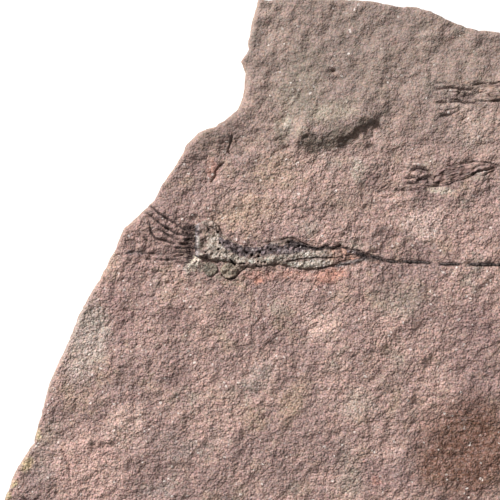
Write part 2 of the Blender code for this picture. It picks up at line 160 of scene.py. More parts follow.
SMALL = ("second_brachiole", "second_stem", "third_brachiole", "third_stem")  # the two small animals
COVERED = {  # arms that stone partly covers: from, to (along the arm, from its first point), share hidden
    "brachiole_2": [(3.8, 4.5, 0.85)],
    "brachiole_3": [(4.0, 4.8, 0.85)],
    "brachiole_4": [(3.1, 4.5, 0.85)],
    "brachiole_5": [(4.0, 11.5, 0.85)],
    "brachiole_6": [(5.0, 11.6, 0.45), (11.6, 16.4, 0.50), (16.6, 20.0, 0.70)],
    "brachiole_7": [(1.8, 4.0, 0.85), (8.0, 10.4, 0.85)],
    "second_brachiole_2": [(2.6, 3.4, 0.85)],
    "second_brachiole_3": [(2.9, 5.0, 0.85)],
    "second_brachiole_4": [(0.0, 9.0, 0.3)],
    "second_brachiole_5": [(0.0, 9.0, 0.4), (2.2, 3.2, 0.85)],
    "third_brachiole_1": [(0.0, 9.0, 0.5), (3.4, 5.0, 0.85)],
    "third_brachiole_3": [(0.0, 9.0, 0.5), (0.0, 2.8, 0.85)],
    "third_brachiole_4": [(2.2, 3.4, 0.85)],
    "third_brachiole_5": [(0.0, 9.0, 0.4)],
}

# --- looks of the stone --------------------------------------------------------------------------

CRACKS = [  # half width, depth, route
    (0.36, 0.42, [(-69.4, -29.6), (-68.9, -31.4), (-67.1, -34.9), (-65.4, -37.4), (-63.5, -40.6),
        (-63.1, -43.1)]),
    (0.16, 0.30, [(-63.1, -43.1), (-62.8, -45.6), (-62.8, -50.6), (-62.0, -56.0), (-60.5, -62.0)]),
    (0.20, 0.25, [(-66.4, -48.0), (-66.6, -50.4)]),
    (0.18, 0.4, [(-78.6, -46.9), (-76.9, -49.0), (-74.0, -50.6), (-71.0, -52.4), (-66.5, -54.0)]),
    (0.22, 0.6, [(-22.4, 40.4), (-22.9, 38.9), (-23.6, 36.6), (-23.1, 35.9)]),
    (0.26, 0.6, [(-24.6, 33.7), (-25.6, 32.9), (-26.7, 31.7), (-26.6, 30.6), (-27.8, 28.9)]),
    (0.30, 0.25, [(-26.9, 38.5), (-25.4, 38.4), (-24.1, 38.8)]),
    (0.12, 0.20, [(-34.4, 30.6), (-32.0, 30.3), (-29.8, 30.5)]),
]
SEAMS_AND_SHADOW_LINES = [  # half width, depth, strength, route: thin dark lines in and round the bodies; a few are painted shadow lines
    # round the main body
    (0.13, 0.25, 0.60, [(-15.1, 13.6), (-13.1, 13.9), (-12.1, 14.1), (-10.6, 14.3)]),
    (0.18, 0.30, 0.65, [(-10.6, 14.3), (-9.4, 14.6), (-8.6, 14.9), (-6.9, 14.7), (-5.6, 13.9), (-4.4, 13.4),
        (-3.1, 12.8)]),
    (0.34, 0.40, 1.00, [(-3.1, 12.6), (-1.6, 12.1), (-0.1, 12.1), (0.6, 12.7), (1.4, 12.9), (2.1, 12.3),
        (3.1, 12.3), (3.9, 12.5), (4.6, 12.8), (5.4, 12.5)]),
    (0.20, 0.35, 0.95, [(5.4, 12.3), (6.9, 12.1), (8.4, 11.9), (9.4, 11.6), (10.4, 11.0)]),
    (0.34, 0.35, 1.00, [(9.4, 11.2), (10.6, 10.8), (12.2, 10.5), (13.6, 10.1), (14.4, 9.7), (15.1, 9.4)]),
    (0.34, 0.20, 0.75, [(10.2, 10.5), (11.4, 10.0), (12.6, 9.9), (13.8, 9.6), (14.8, 9.1)]),
    (0.34, 0.35, 0.95, [(-0.4, 12.1), (0.8, 12.7), (1.6, 12.7), (2.4, 12.2), (3.9, 12.4), (4.8, 12.6),
        (6.4, 12.2)]),
    (0.17, 0.30, 0.75, [(-9.1, 13.6), (-7.4, 13.6), (-4.9, 12.9), (-3.1, 12.4)]),
    (0.14, 0.20, 0.50, [(-12.4, 10.8), (-10.6, 10.8), (-8.1, 10.9)]),
    (0.20, 0.30, 1.00, [(-16.5, 7.9), (-15.8, 7.7)]),
    # painted shadow under the pale ridge, running on into the next line, which is partly a real seam and
    # partly painted shadow
    (0.10, 0.08, 0.45, [(-15.1, 8.0), (-13.1, 8.1), (-11.6, 8.3), (-10.4, 8.5), (-9.4, 8.8), (-8.1, 9.1)]),
    (0.17, 0.28, 0.78, [(-8.1, 9.1), (-6.6, 9.4), (-5.6, 9.6), (-4.1, 9.8), (-2.4, 9.9), (-1.1, 10.0),
        (1.4, 9.9), (2.6, 10.0), (4.4, 10.1), (5.1, 9.9)]),
    # painted shadow: the soft shade below the lens's left end
    (0.10, 0.10, 0.35, [(-6.6, 7.1), (-4.4, 7.0), (-3.6, 7.1), (-2.1, 7.1)]),
    (0.16, 0.22, 0.65, [(-2.1, 7.1), (0.6, 7.6), (2.1, 8.0), (3.6, 8.4), (4.6, 9.0), (5.9, 9.4),
        (6.9, 9.5)]),
    (0.13, 0.20, 0.60, [(3.4, 7.7), (5.0, 8.2), (6.6, 8.4)]),
    (0.15, 0.25, 0.80, [(5.9, 10.4), (7.4, 10.8), (8.6, 10.6), (9.9, 10.3)]),
    (0.15, 0.25, 0.62, [(-29.4, 18.1), (-27.9, 17.6), (-27.1, 17.1), (-26.1, 16.4)]),
    (0.15, 0.25, 0.55, [(-28.7, 17.5), (-28.1, 16.8)]),
    (0.12, 0.20, 0.35, [(-26.0, 16.2), (-25.0, 15.3), (-23.4, 14.6), (-22.2, 13.7)]),
    (0.10, 0.12, 0.55, [(-28.4, 9.3), (-27.4, 8.9), (-25.9, 9.0), (-24.1, 9.3)]),
    (0.26, 0.50, 1.00, [(-22.9, 9.4), (-22.4, 8.8), (-21.9, 8.2)]),
    (0.15, 0.25, 0.70, [(-20.9, 8.4), (-19.6, 8.6)]),
    # painted shadow: this line and the next draw the dark crescent round the round lump's lower side
    (0.14, 0.30, 0.80, [(-18.9, 7.8), (-20.4, 6.5), (-21.4, 5.5)]),
    (0.16, 0.35, 0.95, [(-25.1, 5.6), (-24.6, 5.1), (-23.9, 4.8), (-23.1, 4.6), (-22.1, 4.8),
        (-21.4, 5.3)]),
    # the second animal, its arms and then its body
    (0.17, 0.28, 0.72, [(22.1, 31.9), (23.1, 32.5), (24.4, 32.9), (25.6, 32.4), (26.6, 31.5)]),
    (0.15, 0.20, 0.60, [(23.1, 31.8), (24.6, 31.4), (25.9, 31.1)]),
    (0.12, 0.20, 0.45, [(19.6, 32.6), (21.4, 32.4), (22.1, 32.0)]),
    (0.16, 0.25, 0.80, [(20.4, 29.8), (21.4, 30.0), (22.1, 30.4), (22.9, 30.4)]),
    (0.19, 0.35, 0.95, [(23.6, 29.3), (24.6, 29.4), (25.6, 29.4), (26.6, 30.0)]),
    (0.17, 0.30, 0.80, [(24.6, 29.9), (25.9, 30.3), (26.9, 30.5)]),
    (0.20, 0.30, 0.85, [(20.9, 28.8), (21.9, 28.5), (23.1, 28.1)]),
    (0.12, 0.20, 0.60, [(23.6, 28.1), (25.4, 28.0), (27.4, 27.8), (29.4, 27.8), (30.9, 28.1)]),
    (0.15, 0.20, 0.55, [(20.1, 26.6), (21.6, 26.8), (22.9, 27.1), (24.1, 27.0), (25.4, 26.9)]),
    (0.12, 0.20, 0.75, [(26.0, 27.8), (26.0, 26.6)]),
    (0.17, 0.25, 0.65, [(28.4, 30.4), (27.8, 29.3)]),
    (0.17, 0.30, 0.80, [(14.1, 26.5), (15.4, 27.5), (16.4, 28.4), (17.1, 29.1)]),
    (0.14, 0.25, 0.70, [(15.6, 26.6), (16.6, 27.6), (17.4, 28.6), (17.9, 28.9)]),
    (0.11, 0.15, 0.40, [(15.6, 26.4), (17.6, 26.6), (20.1, 26.6)]),
    (0.24, 0.20, 0.45, [(31.6, 32.8), (32.6, 32.9), (33.6, 33.1)]),
    (0.20, 0.25, 0.65, [(33.4, 33.5), (34.4, 33.3), (35.4, 33.4)]),
    (0.14, 0.25, 0.70, [(35.9, 34.1), (36.9, 33.8), (38.4, 34.0), (39.9, 33.9), (40.9, 33.8)]),
    (0.20, 0.30, 0.90, [(40.4, 33.8), (41.9, 33.6), (43.1, 33.3), (44.4, 33.0), (46.0, 32.9)]),
    (0.12, 0.20, 0.50, [(36.1, 33.6), (37.9, 33.3), (38.9, 32.9)]),
    (0.19, 0.30, 0.80, [(38.4, 32.6), (39.4, 33.0), (40.6, 33.1)]),
    (0.12, 0.20, 0.70, [(34.6, 31.9), (35.9, 31.9), (37.1, 32.3), (38.1, 32.3)]),
    (0.20, 0.35, 1.00, [(37.4, 30.6), (38.1, 31.1), (38.9, 31.6)]),
    (0.15, 0.25, 0.65, [(39.1, 31.4), (40.4, 31.8), (41.6, 32.0), (42.9, 32.5), (43.9, 32.9)]),
    (0.14, 0.22, 0.62, [(39.4, 30.5), (40.6, 30.5), (41.4, 31.0), (42.4, 31.5), (43.1, 31.9)]),
    (0.17, 0.30, 0.85, [(31.6, 28.1), (32.6, 28.8), (33.9, 29.1), (34.9, 29.5), (36.1, 29.9), (37.1, 30.4),
        (37.9, 30.9)]),
    (0.12, 0.20, 0.60, [(31.1, 30.1), (32.6, 30.6), (33.9, 31.0)]),
    (0.12, 0.20, 0.60, [(34.4, 30.5), (35.9, 30.8), (36.9, 31.3)]),
    (0.12, 0.20, 0.50, [(29.4, 30.9), (30.4, 31.6), (31.9, 31.9), (33.1, 31.9)]),
    (0.12, 0.20, 0.50, [(31.4, 29.6), (32.4, 29.5)]),
    # the third animal, its arms and then its body
    (0.15, 0.20, 0.50, [(28.4, 53.6), (30.1, 53.6), (31.9, 53.1)]),
    (0.15, 0.30, 0.85, [(28.4, 51.9), (30.4, 52.4), (31.9, 52.6), (33.9, 52.4), (35.4, 52.1),
        (36.9, 51.9)]),
    (0.28, 0.40, 1.00, [(34.7, 52.1), (34.4, 51.6), (34.3, 51.1)]),
    (0.13, 0.20, 0.60, [(34.9, 51.3), (35.6, 51.8)]),
    (0.18, 0.20, 0.65, [(31.9, 51.6), (32.9, 51.4), (33.9, 51.4)]),
    (0.17, 0.30, 0.90, [(32.1, 49.6), (33.4, 49.5), (34.4, 49.3), (35.1, 48.9)]),
    (0.22, 0.30, 0.80, [(28.9, 48.6), (29.9, 48.9), (30.9, 49.0)]),
    (0.20, 0.30, 0.70, [(35.4, 48.6), (36.9, 48.6), (38.1, 48.6)]),
    (0.13, 0.25, 0.75, [(38.1, 49.4), (39.4, 49.1), (41.1, 49.1)]),
    (0.15, 0.25, 0.70, [(39.1, 51.3), (40.1, 51.4), (41.1, 51.6)]),
    (0.18, 0.25, 0.65, [(40.1, 53.5), (41.1, 53.4)]),
    (0.20, 0.35, 1.00, [(41.9, 53.5), (42.9, 53.5), (43.9, 53.8)]),
    (0.16, 0.30, 0.70, [(44.4, 53.9), (47.4, 53.7), (52.6, 52.6)]),
    (0.13, 0.20, 0.60, [(31.1, 46.9), (32.4, 47.1), (33.6, 47.4)]),
    (0.12, 0.15, 0.35, [(29.4, 46.9), (30.9, 46.6)]),
    (0.13, 0.20, 0.50, [(35.1, 44.4), (36.1, 45.1)]),
    (0.13, 0.20, 0.50, [(37.9, 53.1), (39.4, 53.4)]),
    (0.18, 0.25, 0.45, [(41.6, 50.6), (42.4, 49.6), (43.4, 49.1), (46.0, 49.6), (50.0, 50.2)]),
    (0.14, 0.20, 0.50, [(41.9, 49.1), (42.9, 48.9), (43.9, 49.4)]),
    (0.14, 0.20, 0.50, [(44.4, 51.4), (50.0, 51.3)]),
]
SOOT_AND_SHADOW_SPOTS = [  # x, y, radius along x, radius along y, strength
    (-32.9, 12.9, 1.35, 5.6, 1.0), (-33.5, 17.0, 1.9, 1.7, 1.0), (-34.2, 11.6, 1.9, 1.2, 0.5),
    (-33.8, 8.4, 1.6, 0.9, 0.7), (-47.4, 11.4, 2.2, 0.40, 0.3), (-28.9, 10.2, 0.9, 0.65, 0.6),
    (1.1, 12.7, 0.6, 0.4, 0.9), (4.6, 12.6, 0.7, 0.4, 0.9), (3.9, 12.6, 0.9, 0.4, 0.9),
    (-7.6, 13.9, 2.1, 1.0, 0.65), (9.7, 10.5, 1.0, 0.6, 0.95), (-12.9, 12.0, 1.2, 1.0, 0.6),
    (-12.4, 12.2, 1.0, 0.9, 0.5), (-19.2, 11.7, 1.3, 1.1, 0.55), (35.6, 50.3, 0.6, 0.8, 0.80),
    (37.2, 50.4, 0.8, 0.6, 0.75), (30.0, 48.8, 0.9, 0.45, 0.8), (24.3, 32.1, 1.6, 0.7, 0.50),
    (25.6, 29.8, 1.1, 0.5, 0.85), (38.9, 31.7, 0.5, 0.4, 0.9), (37.9, 30.9, 0.8, 0.45, 0.9),
    (31.0, 28.5, 0.6, 0.4, 0.9), (28.8, 28.8, 0.6, 0.35, 0.8), (24.4, 26.4, 0.5, 0.35, 0.9),
    (23.6, 26.8, 1.8, 0.6, 0.4), (21.9, 28.5, 0.9, 0.3, 0.6), (0.7, 56.4, 1.3, 0.4, 0.7),
    # the spot at 12.6, 37.6 is painted shadow beside the small pit below the scarp
    (-17.3, 14.9, 0.8, 0.8, 0.45), (12.6, 37.6, 0.8, 0.8, 0.3), (-30.0, 13.1, 1.0, 1.6, 0.35),
]
ARMS_FOOT = (-33.4, 12.9, 1.5, 4.6)  # the sunk strip where the arms leave the body, as a spot
CALM_FROM, CALM_TO = 16.0, 60.0  # from one y to the other, the top grows smoother and greyer
CREST = 15.6  # heights above this are pressed down, to stay inside the frame's box
LIP = [(-33.6, 7.4), (-32.5, 8.6), (-31.5, 9.9), (-30.6, 10.6)]
RIDGES = [  # half width, height, route: small ridges that catch the light
    (0.30, 0.22, [(16.0, 26.8), (16.8, 27.6), (17.4, 28.5)]),
    (0.35, 0.22, [(23.6, 29.7), (25.1, 30.4), (26.4, 31.0)]),
    (0.50, 0.25, [(34.4, 46.7), (35.9, 47.3), (37.9, 48.1)]),
    (0.40, 0.18, [(39.1, 32.2), (40.9, 32.5), (42.4, 32.8)]),
    (0.80, 0.35, [(-20.8, 8.0), (-20.2, 8.1), (-19.6, 8.3)]),
    (0.45, 0.40, [(-8.2, 48.0), (-7.2, 49.6), (-6.4, 50.6)]),
    (0.70, 0.35, [(-9.4, 41.2), (-8.6, 43.0), (-8.2, 44.6)]),
    (0.70, 0.45, [(-5.8, 41.0), (-4.6, 41.9), (-3.9, 41.4)]),
    (0.80, 0.25, [(10.2, 39.6), (11.0, 38.2)]),
    (0.60, 0.35, [(-2.4, 43.6), (-0.4, 44.4), (1.2, 44.2)]),
    (0.50, 0.30, [(-12.4, 39.9), (-11.0, 40.6)]),
]
PITS = [  # x, y, radius along x, radius along y, depth
    (2.6, 56.6, 1.3, 0.6, 0.8), (-48.9, -3.4, 1.0, 0.5, 0.6), (-38.6, 3.6, 0.9, 0.4, 0.6),
    (12.2, 37.4, 1.2, 0.7, 0.5), (38.6, 51.0, 0.6, 0.5, 0.5), (-12.6, 43.5, 1.0, 0.6, 0.4),
    (-9.0, 37.4, 1.2, 0.5, 0.6), (33.0, -30.0, 0.7, 0.4, 0.4),
]


# --- sums over many points at once ---------------------------------------------------------------


def lattice(column, row, seed):
    """A fixed random number from 0 to 1 for each cell of a square lattice."""
    mixed = (column.astype(np.int64) * 374761393 + row.astype(np.int64) * 668265263
             + seed * 1442695041) & 0xFFFFFFFF
    mixed = ((mixed ^ (mixed >> 13)) * 1274126177) & 0xFFFFFFFF
    return ((mixed ^ (mixed >> 16)) & 0xFFFFFF) / float(0x1000000)


def bumps(x, y, size, seed):
    """Smooth rolling noise over the plane, about -1 to 1, with one bump or hollow per size."""
    x, y = np.asarray(x, float) / size, np.asarray(y, float) / size
    column, row = np.floor(x), np.floor(y)
    across, up = x - column, y - row
    ease_x = across ** 3 * (across * (across * 6 - 15) + 10)
    ease_y = up ** 3 * (up * (up * 6 - 15) + 10)
    total = np.zeros(np.broadcast(x, y).shape)
    for i in (0, 1):
        for j in (0, 1):
            turn = 2 * math.pi * lattice(column + i, row + j, seed)
            share = (ease_x if i else 1 - ease_x) * (ease_y if j else 1 - ease_y)
            total += share * (np.cos(turn) * (across - i) + np.sin(turn) * (up - j))
    return 1.5 * total


def creases(x, y, size, seed):
    """Rounded lumps with sharp creases between them, -1 in a crease to 1 on a lump."""
    return 2 * np.minimum(1.0, 2.2 * np.abs(bumps(x, y, size, seed))) - 1


def smooth_step(value):
    value = np.clip(value, 0.0, 1.0)
    return value * value * (3 - 2 * value)


def from_line(x, y, line):
    """For each point: its distance from a line of points, its side, and its place along, in mm."""
    best = np.full(x.shape, 1e9)
    side = np.ones(x.shape)
    along = np.zeros(x.shape)
    run_so_far = 0.0
    for (ax, ay), (bx, by) in zip(line, line[1:]):
        run_x, run_y = bx - ax, by - ay
        length = math.hypot(run_x, run_y)
        t = np.clip(((x - ax) * run_x + (y - ay) * run_y) / length ** 2, 0, 1)
        away = np.hypot(x - ax - t * run_x, y - ay - t * run_y)
        closer = away < best
        best = np.where(closer, away, best)
        side = np.where(closer, np.sign(run_x * (y - ay) - run_y * (x - ax)), side)
        along = np.where(closer, run_so_far + t * length, along)
        run_so_far += length
    return best, side, along


def ridge(x, y, line, width):
    """1 on a line, falling away to 0 on both sides of it."""
    return np.exp(-(from_line(x, y, line)[0] / width) ** 2)


def near(x, y, line, reach):
    """Indices of the points that lie within reach of a line's bounding box."""
    (x0, y0), (x1, y1) = np.min(line, axis=0) - reach, np.max(line, axis=0) + reach
    return np.nonzero((x > x0) & (x < x1) & (y > y0) & (y < y1))[0]


def lift_near(share, x, y, line, reach, value):
    """Lifts share to value(x, y, away, along) at the points near a line, where that is more."""
    spot = near(x, y, line, reach)
    if len(spot):
        away, side, along = from_line(x[spot], y[spot], line)
        share[spot] = np.maximum(share[spot], value(x[spot], y[spot], away, along))


def oval(x, y, px, py, rx, ry):
    """Distance from a spot's centre, in units that put 1 on its oval edge."""
    return np.hypot((x - px) / rx, (y - py) / ry)


def read_off(x, points, column=1):
    """The value in a column of the points, read off between them at each x."""
    return np.interp(x, [p[0] for p in points], [p[column] for p in points])


def sideways(run):
    """The unit way to the left of each run."""
    return np.stack([-run[:, 1], run[:, 0]], axis=1) / np.hypot(run[:, 0], run[:, 1])[:, None]


def length_so_far(points):
    """How far along its line each point lies."""
    return np.concatenate([[0], np.cumsum(np.hypot(*np.diff(points, axis=0).T))])


def evenly(a, b, count):
    """Points at even spacing from a to just before b."""
    return [(a[0] + (b[0] - a[0]) * i / count, a[1] + (b[1] - a[1]) * i / count) for i in range(count)]


def smooth_route(route, step):
    """Points at about this step on a smooth curve through the route's own points."""
    points = [Vector(p) for p in route]
    padded = [2 * points[0] - points[1]] + points + [2 * points[-1] - points[-2]]
    result = []
    for before, a, b, after in zip(padded, padded[1:], padded[2:], padded[3:]):
        steps = max(1, round((b - a).length / step))
        for i in range(steps):
            t = i / steps
            place = 0.5 * (2 * a + (b - before) * t + (2 * before - 5 * a + 4 * b - after) * t * t
                           + (3 * a - before - 3 * b + after) * t ** 3)
            result.append(tuple(place))
    return result + [tuple(points[-1])]


# --- the top of the slab -------------------------------------------------------------------------


def lip(x, y):
    """The bright raised lip at the lower corner between the arms' foot and the body."""
    return ridge(x, y, LIP, 0.45)


def rods(x, y):
    """Two slate-grey rods that run out from the main body's tip."""
    aways = [from_line(x, y, rod)[0] for rod in SLATE_RODS]
    return np.exp(-(np.minimum(*aways) / 0.50) ** 4)


def small_ridges(x, y):
    """Height of the two rods and the small ridges."""
    height = 0.30 * rods(x, y)
    for half, rise, line in RIDGES:
        height = np.maximum(height, rise * ridge(x, y, line, half))
    return height


def flake(x, y):
    """Height of the leftover flake of the bed above, which ends in a ragged scarp."""
    away, side, along = from_line(x, y, SCARP)
    behind = away * np.where(side > 0, 1.0, -1.0)
    run = read_off(x, SCARP_RUN)
    inland = np.maximum(behind, 0)
    left = smooth_step((x - SCARP_ENDS[0] + 0.3 * inland) / (4.0 + 0.8 * inland))
    right = smooth_step((SCARP_ENDS[1] + 0.4 * inland - x) / (2.2 + 2.6 * inland))
    fade = np.exp(-(inland / FLAKE_REACH) ** 2)
    ragged = behind + 0.5 * bumps(x, y, 2.2, 31) + 0.14 * bumps(x, y, 1.0, 32)
    share = np.clip((ragged + run) / run, 0, 1)
    rough = 1 + 0.25 * share * (1 - share) * (creases(x * 0.8 + y * 0.6, y * 0.4, 1.5, 33) - 0.3)
    return FLAKE_HEIGHT * left * right * fade * share ** 1.1 * rough


def swell(x, y):
    """The bedding plane's slow swell, as the frame has it."""
    return (0.40 * np.sin(0.045 * x + 0.020 * y + 0.6) + 0.30 * np.sin(-0.030 * x + 0.060 * y + 2.1)
            + 0.15 * np.sin(0.110 * x + 0.070 * y + 1.0))


def calm(y):
    """1 towards the far edge, where the surface is worn smoother and the stone is greyer."""
    return smooth_step((y - CALM_FROM) / (CALM_TO - CALM_FROM))


def roughness_of_top(x, y):
    """Hollows and humps of the weathered top, from 20 mm across down to the lumps of 1.5 mm."""
    slant_x, slant_y = x * 0.82 + y * 0.57, y * 0.82 - x * 0.57
    worn = 1 - 0.5 * calm(y)
    rolling = 1 + 0.12 * calm(y)
    return (0.40 * bumps(x, y, 19.0, 1) + 0.44 * rolling * bumps(slant_x / 1.3, slant_y, 9.0, 2)
            + 0.40 * rolling * bumps(slant_x / 1.2, slant_y, 4.6, 3) + 0.32 * bumps(x, y, 2.3, 4)
            + 0.40 * lip(x, y) + small_ridges(x, y) + 0.29 * worn * bumps(x, y, 1.35, 5))


def stone_top(x, y):
    """Height of the stone's top before the fossils' grooves are cut in it."""
    height = THICKNESS + swell(x, y) + flake(x, y) + roughness_of_top(x, y) - 0.05
    return np.where(height < CREST, height, CREST + 0.6 * np.tanh((height - CREST) / 0.6))


def exposure(along, number, name):
    """How far a strand shows at a place along it: 0 where stone still covers it, 1 where it is bare."""
    wave = bumps(along, np.full(np.shape(along), 7.3 * number), 2.6, 41)
    shown = smooth_step((wave + (0.85 if name.startswith("brachiole") else 1.1)) * 1.5)
    for first, last, hidden in COVERED.get(name, ()):
        shown = shown * (1 - hidden * smooth_step((along - first) * 3) * smooth_step((last - along) * 3))
    return shown


def wavering(line, number, reach):
    """The line with small turns to and fro, and its ends in place."""
    along = length_so_far(np.array(line))
    ends = np.minimum(1, np.minimum(along, along[-1] - along))
    push = [reach * ends * bumps(along, along * 0 + 9.1 * number, 1.5, seed) for seed in (47, 48)]
    return [(x + dx, y + dy) for (x, y), dx, dy in zip(line, *push)]


def all_strands():
    """Every strand with its node's name, its number, half width, smooth line and kind."""
    groups = (("brachiole", BRACHIOLES), ("stem", STEM), ("second_brachiole", SECOND_BRACHIOLES),
              ("second_stem", SECOND_STEM), ("third_brachiole", THIRD_BRACHIOLES),
              ("third_stem", THIRD_STEM))
    number = 0
    for prefix, strands in groups:
        for i, (half, route) in enumerate(strands, start=1):
            number += 1
            line = wavering(smooth_route(route, 0.4), number, 0.25 if prefix in SMALL else 0.12)
            yield f"{prefix}_{i}", number, half, line, prefix


def groove_cut(x, y):
    """Depth cut out of the stone along the strands, cracks and seams, in pits and at the arms' foot."""
    depth = np.zeros(x.shape)
    for name, number, half, line, kind in STRANDS:
        full = 0.42 if "stem" in kind else 0.34
        lift_near(depth, x, y, line, 2.5, lambda px, py, away, along: (
            full * (0.25 + 0.75 * exposure(along, number, name)) * np.exp(-(away / (half + 0.14)) ** 2)))
    for half, deep, line in CRACKS:
        lift_near(depth, x, y, line, 2.0, lambda px, py, away, along: (
            deep * np.exp(-((away + 0.12 * bumps(px, py, 0.9, 43)) / half) ** 2)))
    for *pit, deep in PITS:
        depth = np.maximum(depth, deep * np.exp(-(oval(x, y, *pit) + 0.25 * bumps(x, y, 0.9, 44)) ** 4))
    return np.maximum(depth, seam_and_shadow_share(x, y, 1)) + 0.30 * np.exp(-oval(x, y, *ARMS_FOOT) ** 4)


def seam_and_shadow_share(x, y, column):
    """Depth (column 1) or darkness (column 2) of the seams and of the painted shadow lines among them."""
    share = np.zeros(np.shape(x))
    for seam in SEAM_AND_SHADOW_LINES:
        lift_near(share, x, y, seam[3], 1.2, lambda px, py, away, along: (
            seam[column] * np.exp(-(away / (seam[0] * (1.2 + 0.5 * bumps(px, py, 1.1, 46)))) ** 4)))
    return share


def soot_and_shade(x, y):
    """Where dark iron stain has soaked into the stone: along the strands and at the arms' foot; through the
    seams and spots it also carries a few painted shadows.
    """
    stain = np.zeros(x.shape)
    for name, number, half, line, kind in STRANDS:
        full, reach = 0.66 if kind in SMALL else 1.0, 0.75 * half + 0.16
        lift_near(stain, x, y, line, 2.5, lambda px, py, away, along: (
            (0.15 + 0.80 * exposure(along, number, name)) * full * np.exp(-(away / reach) ** 4)))
    return np.maximum(stain, black_marks_and_shadows(x, y)) * (1 - lip(x, y))


def black_marks_and_shadows(x, y):
    """The seams and the sooty spots, with the few painted shadows among them."""
    share = seam_and_shadow_share(x, y, 2)
    for *spot, strength in SOOT_AND_SHADOW_SPOTS:
        reach = oval(x, y, *spot) + 0.30 * bumps(x, y, 1.3, 45)
        share = np.maximum(share, strength * smooth_step(2.2 - 1.6 * reach))
    return share


STRANDS = list(all_strands())
SEAM_AND_SHADOW_LINES = [(half, deep, dark, wavering(smooth_route(line, 0.4), 60 + i, 0.14))
              for i, (half, deep, dark, line) in enumerate(SEAMS_AND_SHADOW_LINES)]


# --- meshes --------------------------------------------------------------------------------------


class Shell:
    """Vertices and faces of one closed piece, gathered loop by loop in millimetres."""

    def __init__(self):
        self.places = []
        self.faces = []

    def loop(self, places):
        start = len(self.places)
        self.places += [tuple(p) for p in places]
        return list(range(start, len(self.places)))

    def wall(self, upper, lower):
        for i in range(len(upper)):
            j = (i + 1) % len(upper)
            self.faces.append((upper[i], lower[i], lower[j], upper[j]))

    def cap(self, loop, inner, height, facing_up):
        """Fills a loop with triangles over the inner points, each at the height function's z."""
        border = [self.places[i][:2] for i in loop]
        flat = [Vector(p) for p in border] + [Vector(p) for p in inner]
        result = geometry.delaunay_2d_cdt(flat, [], [list(range(len(loop)))], 1, 1e-6)
        places, faces, sources = result[0], result[2], result[3]
        xy = np.array([tuple(p) for p in places])
        z = height(xy[:, 0], xy[:, 1])
        corners = []
        for i, source in enumerate(sources):
            if source[0] < len(loop):
                corners.append(loop[source[0]])
            else:
                corners.append(len(self.places))
                self.places.append((xy[i, 0], xy[i, 1], z[i]))
        for face in faces:
            turned = [corners[i] for i in face]
            self.faces.append(turned if facing_up else turned[::-1])

    def piece(self, name, material, masks=()):
        """The finished object; masks are (name, function of x, y and z) pairs stored on its points."""
        places = np.array(self.places)
        mesh = bpy.data.meshes.new(name)
        mesh.from_pydata((places * MM).tolist(), [], self.faces)
        mesh.update()
        mesh.shade_smooth()
        for label, mask in masks:
            layer = mesh.attributes.new(label, "FLOAT", "POINT")
            layer.data.foreach_set("value", mask(*places.T).astype(np.float32))
        mesh.materials.append(material)
        return put(name, mesh)


def put(name, data):
    """A new object in the scene that holds the mesh, lamp or camera."""
    obj = bpy.data.objects.new(name, data)
    bpy.context.scene.collection.objects.link(obj)
    return obj


def staggered(x0, x1, y0, y1, step, seed):
    """Points of a staggered grid over a rectangle, each nudged a little off its place."""
    rows = int((y1 - y0) / (step * 0.866))
    columns = int((x1 - x0) / step)
    row, column = np.mgrid[0:rows + 1, 0:columns + 1]
    x = x0 + (column + 0.5 * (row % 2)) * step
    y = y0 + row * step * 0.866
    x = x + 0.2 * step * (lattice(column, row, seed) * 2 - 1)
    y = y + 0.2 * step * (lattice(column, row, seed + 1) * 2 - 1)
    return np.stack([x.ravel(), y.ravel()], axis=1)


def within(points, polygon):
    """Which of the points lie inside a closed polygon."""
    inside = np.zeros(len(points), bool)
    x, y = points[:, 0], points[:, 1]
    for (ax, ay), (bx, by) in zip(polygon, polygon[1:] + polygon[:1]):
        if ay == by:
            continue
        crosses = ((ay > y) != (by > y)) & (x < (bx - ax) * (y - ay) / (by - ay) + ax)
        inside ^= crosses
    return inside


def clear_of_edge(points, polygon, distance):
    """The points that lie inside a polygon and further than this from its edge."""
    away, side, along = from_line(points[:, 0], points[:, 1], polygon + polygon[:1])
    return points[(away > distance) & within(points, polygon)]


FINE, CLOSE, SEEN, FAR = 0.32, 0.42, 0.53, 0.98  # spacing of the points over the top
ZONES = [  # (x0, x1, y0, y1), spacing
    ((-53.0, 16.0, 3.5, 24.0), FINE), ((16.0, 54.0, 6.0, 11.0), FINE),
    ((12.0, 46.0, 24.5, 36.0), CLOSE), ((26.0, 58.0, 43.5, 56.0), CLOSE),
    ((-9.0, 16.0, 33.5, 47.0), CLOSE), ((-36.0, -20.0, 20.0, 42.0), CLOSE),
    ((-81.0, 45.0, -51.0, 76.0), SEEN), ((-86.0, 86.0, -77.0, 77.0), FAR),
]
ROWS_BESIDE_STRAND = (-0.62, -0.42, -0.2, 0.0, 0.2, 0.42, 0.62)
ROWS_BESIDE_CRACK = (-0.45, -0.2, 0.0, 0.2, 0.45)
ROWS_BESIDE_SEAM = (-0.28, -0.12, 0.0, 0.12, 0.28)


def rows_beside(line, offsets, step):
    """Points in rows on both sides of a line."""
    path = np.array(smooth_route(line, step))
    across = sideways(np.gradient(path, axis=0))
    return np.concatenate([path + across * offset for offset in offsets])


